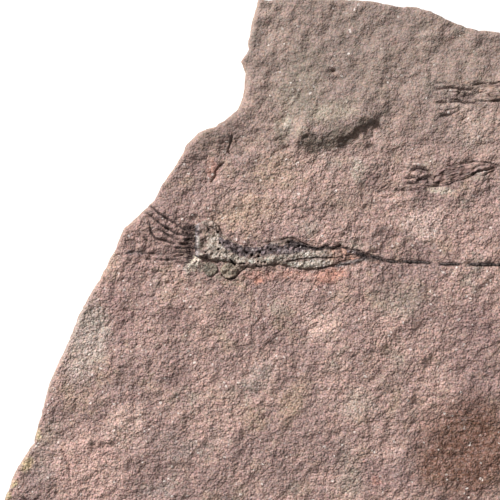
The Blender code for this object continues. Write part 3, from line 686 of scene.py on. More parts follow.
def top_points(edge):
    """All inner points of the top: zones of staggered points, and rows along strands and cracks."""
    gathered = []
    for i, (box, step) in enumerate(ZONES):
        points = staggered(*box, step, 60 + 2 * i)
        for (x0, x1, y0, y1), finer in ZONES[:i]:
            taken = (points > (x0, y0)) & (points < (x1, y1))
            points = points[~taken.all(axis=1)]
        gathered.append(points)
    points = np.concatenate(gathered)
    lines = [(line, 0.85, ROWS_BESIDE_STRAND, 0.3) for name, number, half, line, kind in STRANDS]
    lines += [(route, 0.62, ROWS_BESIDE_CRACK, 0.35) for half, deep, route in CRACKS]
    lines += [(line, 0.42, ROWS_BESIDE_SEAM, 0.3) for half, deep, dark, line in SEAM_AND_SHADOW_LINES]
    rows = []
    for line, reach, offsets, step in lines:
        spot = near(points[:, 0], points[:, 1], line, reach)
        away, side, along = from_line(points[spot, 0], points[spot, 1], line)
        points = np.delete(points, spot[away < reach], axis=0)
        row = rows_beside(line, offsets, step)
        for other, other_reach, other_offsets, other_step in lines[:len(rows)]:
            if len(row) == 0:
                break
            spot = near(row[:, 0], row[:, 1], other, other_reach)
            away, side, along = from_line(row[spot, 0], row[spot, 1], other)
            row = np.delete(row, spot[away < max(other_offsets) + 0.1], axis=0)
        rows.append(row[under_bodies(row[:, 0], row[:, 1]) < 0.5])
    return clear_of_edge(np.concatenate([points] + rows), edge, 0.45)


def broken_edge(step):
    """The outline at even spacing, chipped, with each point's way inwards and its place along."""
    points = []
    for a, b in zip(OUTLINE, OUTLINE[1:] + OUTLINE[:1]):
        points += evenly(a, b, max(1, round(math.dist(a, b) / step)))
    points = np.array(points)
    inward = sideways(np.roll(points, -4, axis=0) - np.roll(points, 4, axis=0))
    return points, inward, length_so_far(points)


WALL_LEVELS = (0.97, 0.93, 0.87, 0.80, 0.72, 0.64, 0.56, 0.48, 0.40, 0.32, 0.24, 0.16, 0.08, 0.02)


def wall_inset(share, along):
    """How far the broken wall lies inside the outline, at a share of its height, 1 at the top."""
    worn = RIM * smooth_step((share - 0.80) / 0.2) ** 2
    undercut = 1.5 * (1 - share) ** 1.3
    height = share * THICKNESS
    beds = 0.45 * creases(along / 9.0, height + 0.4 * bumps(along, height, 11.0, 51), 2.4, 52)
    breaks = 0.75 * bumps(along, height * 1.6, 6.0, 53) + 0.35 * bumps(along, height * 1.5, 2.2, 54)
    grain = 0.14 * bumps(along, height, 0.9, 55)
    middle = smooth_step(share * 6) * smooth_step((1 - share) * 7)
    rough = 0.35 * (beds + breaks) * (0.35 + 0.65 * middle) + 0.6 * np.maximum(0, beds + breaks) * middle
    return worn + undercut + rough + grain - 0.10


def slab_shell():
    """The slab: its broken wall ring by ring, the top with all its points, and the underside."""
    points, inward, along = broken_edge(0.8)
    chips = 0.25 * bumps(along, along * 0, 2.6, 56) + 0.12 * bumps(along, along * 0, 1.1, 57)
    shell = Shell()

    def ring(share, height):
        inset = np.maximum(0.0, wall_inset(share, along) + chips)
        x, y = np.clip(points + inward * inset[:, None], *np.array([[-1], [1]]) * HALF_SIZE).T
        return np.stack([x, y, height(x, y)], axis=1)

    def at_share(share):
        sag = 0.35 * bumps(along, along * 0 + share * 40, 4.0, 58) * share * (1 - share) * 4
        return lambda x, y: share * (stone_top(x, y) - 0.45) + sag

    loops = [shell.loop(ring(1.0, lambda x, y: top_height(x, y) - 0.1))]
    loops += [shell.loop(ring(share, at_share(share))) for share in WALL_LEVELS]
    loops.append(shell.loop(ring(0.0, lambda x, y: 0.0 * x)))
    for upper, lower in zip(loops, loops[1:]):
        shell.wall(upper, lower)
    shell.wall_faces = len(shell.faces)
    top_edge, foot_edge = ([shell.places[i][:2] for i in loop] for loop in (loops[0], loops[-1]))
    shell.cap(loops[0], top_points(top_edge), top_height, True)
    shell.top_faces = len(shell.faces)
    under = clear_of_edge(staggered(-86, 86, -77, 77, 3.2, 90), foot_edge, 1.6)
    shell.cap(loops[-1], under, underside, False)
    shell.along, shell.rings = along, len(loops)
    return shell


def underside(x, y):
    """Height of the underside above the floor: flat, with shallow hollows."""
    return 0.22 * np.maximum(0, 0.4 + bumps(x, y, 9.0, 71))


def top_height(x, y):
    """Height of the slab's top with everything cut into it."""
    return stone_top(x, y) - groove_cut(x, y) - 0.35 * under_bodies(x, y)


def under_bodies(x, y):
    """1 under the fossil bodies and lumps, where the stone dips away beneath them."""
    covered = np.zeros(x.shape)
    for stations in (THECA, SECOND_THECA, THIRD_THECA):
        inside = np.minimum(read_off(x, stations, 1) - y, y - read_off(x, stations, 2))
        ends = np.minimum(x - stations[0][0], stations[-1][0] - x)
        covered = np.maximum(covered, smooth_step(np.minimum(inside, ends) / 0.5))
    for lump in (ROUND_NODULE, FLAT_NODULE):
        covered = np.maximum(covered, smooth_step((0.96 - oval(x, y, *lump[:4])) * 5))
    return covered


def map_slab(obj, shell):
    """Gives the bake's map most of its room to the top, a strip to the walls and a corner to the foot."""
    mesh = obj.data
    layer = mesh.uv_layers.new(name="OFBake")
    corner_vertex = np.zeros(len(mesh.loops), int)
    mesh.loops.foreach_get("vertex_index", corner_vertex)
    starts = np.zeros(len(mesh.polygons), int)
    mesh.polygons.foreach_get("loop_start", starts)
    places = np.array(shell.places)
    uv = np.zeros((len(mesh.loops), 2))
    flat_scale, foot_scale, wall_scale = 1 / 200.0, 1 / 640.0, 1 / 285.0  # of the map's width per mm
    wall_end, top_end = starts[shell.wall_faces], starts[shell.top_faces]
    top = corner_vertex[wall_end:top_end]
    uv[wall_end:top_end] = (places[top, :2] + HALF_SIZE) * flat_scale + 0.005
    foot = corner_vertex[top_end:]
    uv[top_end:] = (places[foot, :2] + HALF_SIZE) * foot_scale + (0.005, 0.76)
    count = len(shell.along)
    total = shell.along[-1] + 0.8
    third = total / 3
    corners = corner_vertex[:wall_end].reshape(-1, 4)
    ring, place = corners // count, corners % count
    along = np.append(shell.along, total)[place]
    last = (place == 0) & (place.max(axis=1, keepdims=True) == count - 1)
    along = np.where(last, total, along)
    strip = np.minimum(2, (along.min(axis=1, keepdims=True) // third)).astype(int)
    uv[:wall_end, 0] = ((along - strip * third) * wall_scale + 0.285).ravel()
    uv[:wall_end, 1] = ((ring * THICKNESS / (shell.rings - 1)) * wall_scale + 0.765 + strip * 0.075).ravel()
    layer.data.foreach_set("uv", uv.ravel())


STRAND_SIDES = 10


def strand_shell(name, half, number, line, kind):
    """A thread of rough beads that follows its route and dips under the stone here and there."""
    path = np.array(smooth_route(line, 0.22))
    across = sideways(np.gradient(path, axis=0))
    along = length_so_far(path)
    total = along[-1]
    taper = 1 - 0.25 * along / total
    taper *= np.sqrt(np.clip(np.minimum(along + 0.05, total - along + 0.05) / (1.2 * half), 0.05, 1))
    beads = 1 + 0.10 * np.cos(2 * math.pi * along / (0.9 if "stem" in kind else 0.7))
    radius = (1.05 if kind == "stem" else 0.9) * half * taper * beads
    shown = exposure(along, number, name)
    bed = top_height(path[:, 0], path[:, 1])
    centre = bed - (0.15 if kind == "stem" else 0.35) * half + 0.22 * (shown - 0.75)
    shell = Shell()
    loops = []
    turn = 2 * math.pi * np.arange(STRAND_SIDES) / STRAND_SIDES
    for i in range(len(path)):
        out = radius[i] * (1 + 0.22 * bumps(along[i] + 0 * turn, turn * half * 2.0, 0.35, 80 + number))
        x, y = path[i, :, None] + across[i, :, None] * out * np.cos(turn)
        loops.append(shell.loop(np.stack([x, y, centre[i] + 0.9 * out * np.sin(turn)], axis=1)))
    for upper, lower in zip(loops, loops[1:]):
        shell.wall(lower, upper)
    shell.faces.append(tuple(loops[0][::-1]))
    shell.faces.append(tuple(loops[-1]))
    return shell


# The main body's markings, in its own plane
SLATE_TOP = [(-26.4, 15.4), (-25.1, 15.0), (-23.6, 14.4), (-22.4, 13.6), (-20.6, 13.1), (-18.1, 12.7),
             (-14.9, 12.7), (-13.9, 13.4), (-11.6, 13.4), (-10.9, 12.9), (-8.6, 13.2), (-8.1, 14.6),
             (-5.6, 13.8), (-2.6, 12.5), (0.4, 12.2)]
SLATE_FOOT = [(-26.4, 14.9), (-25.1, 12.9), (-24.1, 12.2), (-22.6, 11.6), (-21.6, 10.8), (-20.6, 10.2),
              (-19.1, 10.0), (-18.4, 10.8), (-16.4, 11.0), (-14.9, 10.5), (-13.1, 10.8), (-8.1, 10.9),
              (-6.4, 11.2), (-4.4, 11.8), (-2.6, 11.9), (0.4, 12.1)]
SLATE_RODS = [[(6.4, 11.5), (8.1, 11.4), (9.6, 10.9), (10.9, 10.1)],
              [(3.6, 7.9), (4.6, 8.3), (6.4, 8.8), (8.1, 9.1), (9.6, 9.6), (11.2, 9.8)]]
CREAM_RIDGE = [(-13.6, 9.4), (-12.5, 9.6), (-10.0, 9.8), (-8.4, 10.2), (-6.6, 10.3), (-5.2, 10.8),
               (-3.6, 10.8), (-1.0, 10.7), (1.0, 10.9), (3.4, 11.0)]
CREAM_LENS = [(-8.9, 8.6), (-8.1, 8.9), (-5.6, 9.1), (-2.4, 9.5), (0.4, 9.5), (2.4, 9.5), (3.6, 9.0),
              (2.1, 8.4), (0.6, 7.9), (-1.4, 7.5), (-3.6, 7.4), (-6.6, 7.4), (-8.4, 7.5)]
PALE_MASS = [(-28.9, 15.4), (-27.6, 15.9), (-26.4, 16.0), (-25.1, 15.1), (-24.9, 13.9), (-24.1, 12.1),
             (-22.4, 11.5), (-20.6, 10.3), (-18.6, 10.0), (-19.1, 9.1), (-20.6, 8.6), (-22.6, 8.9),
             (-24.4, 9.1), (-27.4, 9.3), (-28.6, 10.4), (-29.0, 12.1), (-28.9, 13.6)]
PALE_LUMPS_AND_HIGHLIGHTS = [  # x, y, radius along x, radius along y, strength
    (-10.8, 9.6, 2.0, 0.7, 0.6), (-6.8, 8.3, 1.8, 0.7, 0.8), (-22.2, 10.3, 1.3, 0.8, 0.5),
    (-23.4, 12.9, 0.6, 0.4, 0.5), (-15.4, 9.6, 1.1, 0.8, 0.4), (-13.3, 9.7, 0.8, 0.8, 0.7),
    # the strip at -31.0, 13.6 is a painted highlight on the body's left edge, which faces the lamp; the spot
    # at -30.4, 10.8 on the lip is partly pale crust, partly painted highlight
    (-17.6, 9.2, 1.0, 0.7, 0.7), (-31.0, 13.6, 0.5, 1.8, 0.45), (-28.6, 19.0, 1.6, 0.7, 0.25),
    (-30.4, 10.8, 0.8, 0.35, 0.8),
]
HOLES = [  # x, y, radius
    (-15.9, 10.3, 0.36), (-14.3, 8.9, 0.28), (-25.9, 12.1, 0.42), (-25.6, 13.6, 0.26), (-24.6, 13.7, 0.26),
    (-18.9, 11.2, 0.34), (-17.6, 10.6, 0.42), (-15.6, 11.4, 0.30), (-26.1, 16.3, 0.34), (-12.9, 12.0, 0.30),
    (-8.4, 13.9, 0.40), (-5.9, 12.9, 0.36), (-15.1, 7.8, 0.26), (-19.6, 8.5, 0.28), (-29.2, 11.3, 0.24),
    (-16.1, 9.0, 0.26), (-14.3, 9.0, 0.22),
]


def body_outline(stations, step):
    """The body's edge seen from above: along its upper side, then back along its lower side."""
    upper = [(s[0], s[1]) for s in stations]
    lower = [(s[0], s[2]) for s in stations][::-1]
    line = smooth_route(upper, step) + smooth_route(lower, step)
    line = [p for p, q in zip(line, line[1:] + line[:1]) if math.dist(p, q) > step * 0.4]
    filled = []
    for a, b in zip(line, line[1:] + line[:1]):
        filled += evenly(a, b, max(1, round(math.dist(a, b) / step)))
    return np.array(filled)


def body_shell(stations, step, relief, ragged, lift):
    """A low closed body: a domed, sculpted top over its outline, a wall, and a plain underside."""
    line = body_outline(stations, step * 1.5)
    nudge = ragged * bumps(line[:, 0], line[:, 1], 1.1, 91)
    line = line + sideways(np.roll(line, -2, axis=0) - np.roll(line, 2, axis=0)) * nudge[:, None]
    polygon = [tuple(p) for p in line[::-1]]

    def top(x, y):
        away, side, along = from_line(x, y, polygon + polygon[:1])
        half = np.maximum(0.3, (read_off(x, stations, 1) - read_off(x, stations, 2)) / 2)
        share = np.clip(away / np.minimum(half, 1.0), 0, 1)
        rise = 0.30 + lift * read_off(x, stations, 3) * np.sqrt(1 - (1 - share) ** 2)
        return stone_top(x, y) - 0.30 + rise + relief(x, y) * smooth_step(away / 0.4)

    def bottom(x, y):
        return stone_top(x, y) - 0.30 - 0.6 * read_off(x, stations, 4)

    shell = Shell()
    x, y = np.array(polygon).T
    rim, foot = (shell.loop(np.stack([x, y, height(x, y)], axis=1)) for height in (top, bottom))
    shell.wall(rim, foot)
    box = (x.min(), x.max(), y.min(), y.max())
    shell.cap(rim, clear_of_edge(staggered(*box, step, 92), polygon, step * 0.6), top, True)
    shell.cap(foot, clear_of_edge(staggered(*box, step * 6, 94), polygon, step * 3), bottom, False)
    return shell


def hole_share(x, y):
    """1 in the small dark holes of the main body."""
    share = np.zeros(np.shape(x))
    for hx, hy, radius in HOLES:
        reach = np.hypot(x - hx, (y - hy) * 1.2) / radius + 0.35 * bumps(x, y, 0.6, 20)
        share = np.maximum(share, np.exp(-np.maximum(reach, 0) ** 4))
    return share


def slate_share(x, y):
    """The slate-dark iron-stained band along the main body's upper side, and two rods at its tip."""
    foot, top = read_off(x, SLATE_FOOT), read_off(x, SLATE_TOP)
    ragged = 0.35 * bumps(x, y, 1.2, 21) + 0.25 * bumps(x, y, 0.5, 22)
    share = smooth_step((y - foot + ragged) / 0.6 + 0.5) * smooth_step((top - y + ragged) / 0.6 + 0.5)
    share = share * smooth_step((x + 26.2) * 2) * smooth_step((0.9 - x) * 2)
    return np.maximum(share, rods(x, y))


def patch_share(x, y, edge, soft):
    """1 inside a patch with a ragged edge, 0 outside it."""
    away, side, along = from_line(x, y, edge + edge[:1])
    inside = np.where(within(np.stack([x, y], axis=1), edge), away, -away)
    return smooth_step((inside + 0.25 * bumps(x, y, 0.8, 23)) / soft + 0.5)


def pale_crust_and_highlight(x, y):
    """The pale crust: the mass on the crown, the ridge along the body and the lens below it, with painted
    highlights on the body's left edge and on the lip.
    """
    share = np.maximum(patch_share(x, y, CREAM_LENS, 0.35), 0.68 * patch_share(x, y, PALE_MASS, 0.6))
    broken = smooth_step(0.95 + 0.9 * bumps(x, y, 1.5, 19))
    crest = broken * ridge(x, y, CREAM_RIDGE, 0.90) * np.interp(x, [-4.0, 1.0], [1.0, 0.5])
    share = np.maximum(share, crest) * np.interp(x, [-5.0, 3.6], [1.0, 0.36])
    for *lump, strength in PALE_LUMPS_AND_HIGHLIGHTS:
        reach = oval(x, y, *lump) + 0.22 * bumps(x, y, 1.1, 30)
        share = np.maximum(share, strength * smooth_step((1.15 - reach) * 3))
    return share


def theca_relief(x, y):
    """The main body's crust: lumps, a fuller crown, seams and holes."""
    crown = smooth_step((-21.0 - x) / 3.0)
    pale, slate = pale_crust_and_highlight(x, y), slate_share(x, y)
    lumps = 0.14 * bumps(x, y, 1.3, 24) + 0.16 * bumps(x, y, 0.75, 25)
    shape = 0.12 * pale - 0.12 * slate + 0.22 * crown * bumps(x, y, 3.0, 28)
    return lumps * (0.9 + 0.25 * slate) + shape - seam_and_shadow_share(x, y, 1) - 0.75 * hole_share(x, y)


def plain_relief(x, y):
    """The small bodies' surface: lumps and seams."""
    return 0.14 * bumps(x, y, 1.2, 28) + 0.10 * bumps(x, y, 0.6, 29) - seam_and_shadow_share(x, y, 1)


def nodule_shell(place, seed, ripple):
    """A rounded lump of matrix, its surface pitted."""
    px, py, half_length, half_width, rise, depth = place
    rows, columns = 44, 64
    shell = Shell()
    base = float(stone_top(np.array([px]), np.array([py]))[0])
    loops = []
    turn = 2 * math.pi * np.arange(columns) / columns
    for i in range(1, rows):
        lift = math.pi * i / rows
        ring = abs(math.sin(lift)) ** 0.6
        height = math.copysign(abs(math.cos(lift)) ** 0.6, math.cos(lift))
        edge = 0.98 + 0.16 * bumps(np.cos(turn) + 3, np.sin(turn), 0.8, seed)
        x = px + half_length * ring * np.cos(turn) * edge
        y = py + half_width * ring * np.sin(turn) * edge
        rough = 0.22 * bumps(x, y, 1.3, seed + 1) + ripple * bumps(x, y, 0.7, seed + 2)
        z = stone_top(x, y) + (0.60 * height * rise + rough * height if height > 0 else height * depth)
        loops.append(shell.loop(np.stack([x, y, z], axis=1)))
    for upper, lower in zip(loops, loops[1:]):
        shell.wall(upper, lower)
    top = shell.loop([(px, py, np.mean([shell.places[i][2] for i in loops[0]]))])[0]
    foot = shell.loop([(px, py, base - depth)])[0]
    for i in range(columns):
        j = (i + 1) % columns
        shell.faces.append((top, loops[0][i], loops[0][j]))
        shell.faces.append((foot, loops[-1][j], loops[-1][i]))
    return shell


# --- finishes ------------------------------------------------------------------------------------


class Flow:
    """An output socket in a material; arithmetic on it adds Math nodes."""

    def __init__(self, finish, socket):
        self.finish, self.socket = finish, socket

    def reckon(self, operation, first, second):
        return self.finish.node("ShaderNodeMath", {"operation": operation}, {0: first, 1: second})

    def __add__(self, other):
        return self.reckon("ADD", self, other)

    def __radd__(self, other):
        return self.reckon("ADD", other, self)

    def __sub__(self, other):
        return self.reckon("SUBTRACT", self, other)

    def __rsub__(self, other):
        return self.reckon("SUBTRACT", other, self)

    def __mul__(self, other):
        return self.reckon("MULTIPLY", self, other)

    def __rmul__(self, other):
        return self.reckon("MULTIPLY", other, self)

    def most(self, other):
        return self.reckon("MAXIMUM", self, other)


def paint(red, green, blue):
    """A colour given as 0 to 255 on a screen, as the linear colour that a material takes."""
    return tuple(((c / 255 + 0.055) / 1.055) ** 2.4 for c in (red, green, blue)) + (1.0,)


class Finish:
    """A material in the making: its nodes, and the patterns that the stone and the fossils share."""

    def __init__(self, name):
        self.material = bpy.data.materials.new(name)
        self.material.use_nodes = True
        self.tree = self.material.node_tree
        self.shader = self.tree.nodes["Principled BSDF"]
        place = self.node("ShaderNodeTexCoord", {}, {}, "Object")
        self.place = self.node("ShaderNodeVectorMath", {"operation": "SCALE"}, {0: place, "Scale": 1 / MM})

    def node(self, kind, settings, sockets, output=0):
        """Adds a node: its settings, then its input sockets by identifier, name or number."""
        node = self.tree.nodes.new(kind)
        for name, value in settings.items():
            setattr(node, name, value)
        for key, value in sockets.items():
            socket = self.socket(node.inputs, key)
            if isinstance(value, Flow):
                self.tree.links.new(value.socket, socket)
            else:
                socket.default_value = value
        return Flow(self, self.socket(node.outputs, output))

    @staticmethod
    def socket(sockets, key):
        """A socket by its number or identifier, or else by its name."""
        if isinstance(key, int):
            return sockets[key]
        return next((s for s in sockets if s.identifier == key), None) or sockets[key]

    def noise(self, size, detail=2.0, rough=0.5, place=None, output="Fac"):
        return self.node("ShaderNodeTexNoise", {}, {"Vector": place or self.place, "Scale": 1 / size,
                         "Detail": detail, "Roughness": rough}, output)

    def patch(self, size, detail=3.0, rough=0.6, low=0.40, high=0.62):
        """Soft-edged patches of about this size, 0 between them and 1 in them."""
        return self.step(self.noise(size, detail, rough), low, high)

    def cells(self, size, output, place=None):
        """Round grains: the distance from the nearest one's centre, or a colour of its own."""
        return self.node("ShaderNodeTexVoronoi", {"feature": "F1"},
                         {"Vector": place or self.place, "Scale": 1 / size}, output)

    def step(self, value, low, high):
        """0 below low, 1 above high, with a smooth rise between; low may be the larger."""
        return self.node("ShaderNodeMapRange", {"interpolation_type": "SMOOTHSTEP"},
                         {"Value": value, "From Min": low, "From Max": high})

    def mix(self, share, base, other, how="MIX"):
        return self.node("ShaderNodeMix", {"data_type": "RGBA", "blend_type": how},
                         {"Factor_Float": share, "A_Color": base, "B_Color": other}, "Result_Color")

    def shade(self, colour, amount):
        """The colour made lighter or darker by a number round 1."""
        return self.node("ShaderNodeVectorMath", {"operation": "SCALE"}, {0: colour, "Scale": amount})

    def shifted(self, size, reach, place=None):
        """The place moved about by a noise, so that what is drawn with it gets a ragged edge."""
        push = self.noise(size, 2.0, 0.6, place, "Color")
        push = self.node("ShaderNodeVectorMath", {"operation": "SUBTRACT"}, {0: push, 1: (0.5, 0.5, 0.5)})
        push = self.node("ShaderNodeVectorMath", {"operation": "SCALE"}, {0: push, "Scale": reach})
        return self.node("ShaderNodeVectorMath", {"operation": "ADD"}, {0: place or self.place, 1: push})

    def blot(self, place, spot):
        """A ragged soft spot: x, y, radius along x, radius along y, turn in degrees."""
        x, y, rx, ry, turn = spot
        local = self.node("ShaderNodeMapping", {"vector_type": "TEXTURE"},
                          {"Vector": place, "Location": (x, y, THICKNESS),
                           "Rotation": (0.0, 0.0, math.radians(turn)), "Scale": (rx, ry, 1e4)})
        reach = self.node("ShaderNodeVectorMath", {"operation": "LENGTH"}, {0: local}, "Value")
        return self.step(reach, 1.25, 0.45)

    def mask(self, name):
        return self.node("ShaderNodeAttribute", {"attribute_name": name}, {}, "Fac")

    def grain(self, colour, bite=1.0):
        """The colour broken up into sand grains and lumps, darker in the creases between grains as painted
        shade with some dirt, and their relief in millimetres.
        """
        nudged = self.shifted(0.8, 0.5)
        lump = self.cells(0.80, "Distance", nudged)
        small = self.cells(0.42, "Distance", nudged)
        fleck = self.node("ShaderNodeSeparateColor", {}, {"Color": self.cells(0.38, "Color")}, "Green")
        # the term with small darkens the creases between grains: painted shade, with some dirt
        grain_tone_and_crease_shade = ((self.noise(0.42, 0.0) - 0.5) * 1.2 + (self.noise(1.7, 3.0, 0.65) - 0.5) * 0.45
                    + (0.45 - small) * 0.5 + (fleck - 0.5) * 0.16)
        colour = self.shade(colour, grain_tone_and_crease_shade * bite + 1.0)
        red = (self.noise(0.6, 1.0, 0.6) - 0.5) * 0.5 + 1.0
        blue = (self.noise(0.55, 1.0, 0.6) - 0.5) * 0.4 + 1.0
        tint = self.node("ShaderNodeCombineColor", {}, {"Red": red, "Green": 1.0, "Blue": blue})
        colour = self.mix(1.0, colour, tint, "MULTIPLY")
        pick = self.node("ShaderNodeSeparateColor", {}, {"Color": self.cells(0.5, "Color")}, "Red")
        colour = self.mix(self.step(pick, 0.987, 0.999) * 0.6, colour, paint(232, 222, 214))
        colour = self.mix(self.step(pick, 0.05, 0.01) * 0.5, colour, paint(84, 66, 60))
        return colour, (lump * 0.34 + small * 0.22) * bite * -1.0

    def done(self, colour, rough, height):
        """Wires colour, roughness and relief (height in millimetres) to the shader."""
        normal = self.node("ShaderNodeBump", {}, {"Strength": 1.0, "Distance": MM, "Height": height})
        for name, flow in (("Base Color", colour), ("Normal", normal)):
            self.tree.links.new(flow.socket, self.shader.inputs[name])
        self.shader.inputs["Roughness"].default_value = rough
        self.shader.inputs["Specular IOR Level"].default_value = 0.25
        return self.material


PINK, MAUVE, TAN = paint(178, 148, 138), paint(154, 128, 121), paint(172, 147, 126)
OLIVE, GREY = paint(163, 150, 131), paint(153, 141, 134)
# SOOT_AND_SHADE is the dark of the iron stain, also laid on the few painted shadows among the seams and
# spots
BROWN, ORANGE, SOOT_AND_SHADE = paint(102, 68, 51), paint(197, 131, 106), paint(46, 33, 32)
# FACE_STAIN_AND_SHADE darkens the scarp's face: partly stain, partly painted shade of a slope turned from
# the lamp
FACE_STAIN_AND_SHADE, DUSK, PLUM = paint(110, 97, 87), paint(140, 118, 110), paint(118, 94, 90)

STAINS_AND_PAINTED_LIGHT = [  # colour, strength, spots of x, y, radius along x, radius along y, turn; a few are painted shade and painted highlights
    (paint(136, 110, 107), 0.65, [(-49.0, -1.0, 8.0, 13.0, -20), (38.0, -12.0, 8.0, 15.0, 0),
        (14.0, -45.0, 12.0, 5.0, 0)]),
    (OLIVE, 0.80, [(-6.4, 53.0, 7.0, 11.0, -20), (1.5, 46.4, 7.5, 3.0, 18), (-10.0, 42.5, 2.6, 5.5, 0)]),
    (paint(190, 178, 166), 0.60, [(-59.0, -12.0, 6.0, 11.0, -20)]),
    (paint(150, 134, 126), 0.45, [(-68.5, -39.0, 6.0, 9.0, -20)]),
    # pale yellowish spots on the lower-left rim: partly the rim's own tint, partly painted highlight on the
    # bevel that faces the lamp
    (paint(190, 170, 132), 0.80, [(-71.1, -34.4, 0.9, 1.8, 0), (-73.8, -41.5, 1.5, 2.4, -30),
        (-77.0, -46.4, 1.1, 1.1, 0), (-78.6, -49.6, 1.1, 1.5, 0)]),
    (paint(78, 58, 57), 0.80, [(-23.0, 41.2, 1.3, 1.3, 0), (-29.4, 39.2, 1.9, 1.3, 20),
        (-22.7, 43.9, 1.0, 1.0, 0), (-25.8, 32.4, 1.4, 0.8, 45), (-20.8, 37.2, 1.0, 1.6, 0)]),
    (paint(186, 176, 160), 0.80, [(9.0, 31.4, 1.9, 3.6, 8), (-8.6, 43.4, 1.6, 2.6, 0)]),
    (paint(178, 166, 150), 0.45, [(19.4, -0.8, 6.5, 5.0, 0), (9.0, -26.0, 4.6, 4.4, 0),
        (7.0, -46.0, 4.2, 5.0, 0)]),
    (paint(204, 168, 156), 0.7, [(-58.0, -44.0, 9.5, 13.0, 25)]),
    (paint(212, 180, 166), 0.7, [(-49.5, -32.0, 5.5, 6.0, 0), (38.0, 43.0, 7.0, 5.0, 0),
        (0.0, -7.0, 6.0, 5.0, -28), (-12.0, 67.0, 4.0, 6.0, 0)]),
    (MAUVE, 0.65, [(-37.0, -32.0, 6.0, 6.0, 0), (16.5, -25.0, 8.0, 8.0, 0), (-24.4, -19.4, 5.0, 5.0, 0),
        (-12.0, -44.5, 5.5, 5.5, 0), (-2.0, 22.0, 5.0, 4.0, 0), (3.0, 66.0, 7.0, 6.0, 0)]),
    (PINK, 0.70, [(-13.0, 47.0, 3.4, 3.6, 0), (-11.5, 57.0, 4.0, 6.0, 0), (-11.5, 67.0, 4.0, 4.0, 0),
        (30.0, 18.0, 12.0, 5.0, 0), (-10.0, 22.0, 8.0, 5.0, 0)]),
    (TAN, 0.60, [(-7.0, -26.0, 3.0, 8.0, -25), (18.0, -26.0, 1.6, 5.0, -20), (-19.0, 22.0, 9.0, 5.0, 10),
        (-12.6, 32.0, 7.0, 5.0, 20)]),
    (DUSK, 0.5, [(4.0, 24.0, 11.0, 6.0, 0), (8.0, 60.0, 12.0, 8.0, 0), (-23.5, 43.0, 5.0, 6.5, 0),
        (-10.5, 39.5, 5.0, 4.0, 0), (14.0, 46.5, 5.0, 4.0, 0), (13.0, 31.0, 5.0, 4.0, 0),
        (18.0, 3.0, 5.0, 4.0, 0), (-24.4, 24.0, 4.0, 4.0, 0)]),
    (paint(104, 82, 76), 0.80, [(-25.5, 43.0, 4.5, 5.5, -25)]),
    # dark spots on the scarp's face below the ledge: partly stain, partly painted shade
    (paint(92, 80, 72), 0.65, [(-3.5, 38.8, 3.0, 2.2, 10), (3.0, 40.0, 3.0, 2.0, 15)]),
    (paint(140, 129, 115), 0.65, [(-29.9, 7.8, 2.4, 1.6, 0), (-26.0, 5.2, 1.2, 0.7, 0)]),
    (paint(176, 118, 104), 0.60, [(-27.6, 32.4, 1.8, 3.0, 10), (-19.9, 56.4, 0.9, 5.5, 0),
        (17.6, 64.4, 1.4, 1.4, 0)]),
    (PLUM, 0.20, [(-45.0, 18.0, 7.0, 3.4, 35), (-40.0, 13.0, 5.0, 4.0, 20)]),
    (PLUM, 0.50, [(-47.0, 14.0, 4.0, 5.0, 20)]),
    (PLUM, 0.60, [(-22.4, 42.0, 4.0, 7.0, -25), (17.6, 67.4, 2.4, 3.6, 0), (-36.0, -5.0, 5.0, 4.0, 0),
        (-36.0, -20.0, 4.0, 3.0, 60), (12.0, 29.4, 4.0, 2.4, 0)]),
    (ORANGE, 0.50, [(1.8, 5.5, 4.8, 2.2, 14), (5.2, 11.0, 1.6, 1.0, 0), (8.4, 9.9, 1.2, 0.3, 0),
        (-16.0, 4.0, 1.6, 0.8, 0)]),
    (ORANGE, 0.28, [(12.6, 9.2, 1.4, 0.5, -8), (-15.4, 5.6, 5.0, 1.6, 0), (-7.4, 5.8, 5.0, 1.4, 0),
        (31.4, 64.6, 2.0, 1.0, 0), (13.6, -45.6, 1.5, 1.5, 0)]),
    (paint(88, 77, 71), 0.90, [(11.9, 9.7, 2.3, 0.8, -14)]),
    (OLIVE, 0.60, [(-20.4, 8.0, 1.6, 1.2, 0)]),
    (paint(202, 176, 165), 0.70, [(33.1, 48.0, 5.0, 2.0, 10), (41.0, 51.0, 4.0, 4.0, 0),
        (25.6, 18.0, 6.0, 5.0, 0), (34.0, 51.2, 5.0, 2.4, 0)]),
    # thin pale streaks on small ridges by the small animals: partly pale stone, partly painted highlight
    # where the ridges catch the lamp
    (paint(200, 172, 160), 0.60, [(33.0, 50.4, 2.0, 0.45, 0), (36.4, 47.7, 2.2, 0.4, 22),
        (35.8, 53.1, 1.6, 0.35, 0), (25.2, 30.5, 1.6, 0.3, 30)]),
    # pale cream lumps along the flake's edge above the scarp: partly pale stone, partly painted highlight on
    # the edge that faces the lamp
    (paint(198, 184, 162), 0.42, [(5.6, 45.8, 4.0, 1.6, 10), (-5.4, 41.6, 1.8, 1.6, 0),
        (-1.0, 46.5, 3.0, 2.0, 0)]),
    (paint(120, 110, 97), 0.45, [(-5.4, 50.4, 6.0, 5.0, -10)]),
    (DUSK, 0.30, [(8.0, 21.0, 12.0, 6.0, 0), (34.0, 8.5, 11.0, 3.0, 0)]),
    (paint(92, 72, 68), 0.25, [(-36.0, 12.6, 3.6, 4.6, 0)]),
    (paint(126, 118, 116), 0.60, [(-47.0, 11.3, 3.0, 0.7, 0)]),
    # the lip spot is partly pale crust, partly painted highlight; the thin strip at -31.7, 14.4 is a painted
    # highlight on the main body's left edge, which faces the lamp
    (paint(228, 212, 195), 0.95, [(-32.4, 8.7, 3.2, 1.5, 50), (-31.7, 14.4, 0.3, 4.2, 0)]),
    # the streak at -7.4, 49.4 is a painted highlight on a small ridge that faces the lamp
    (paint(214, 198, 180), 0.7, [(29.6, 26.8, 3.6, 0.9, -4), (-7.4, 49.4, 0.6, 1.6, -35)]),
    (BROWN, 0.85, [(36.6, -38.0, 14.5, 15.0, 0), (30.0, -41.0, 8.0, 8.0, 0)]),
]


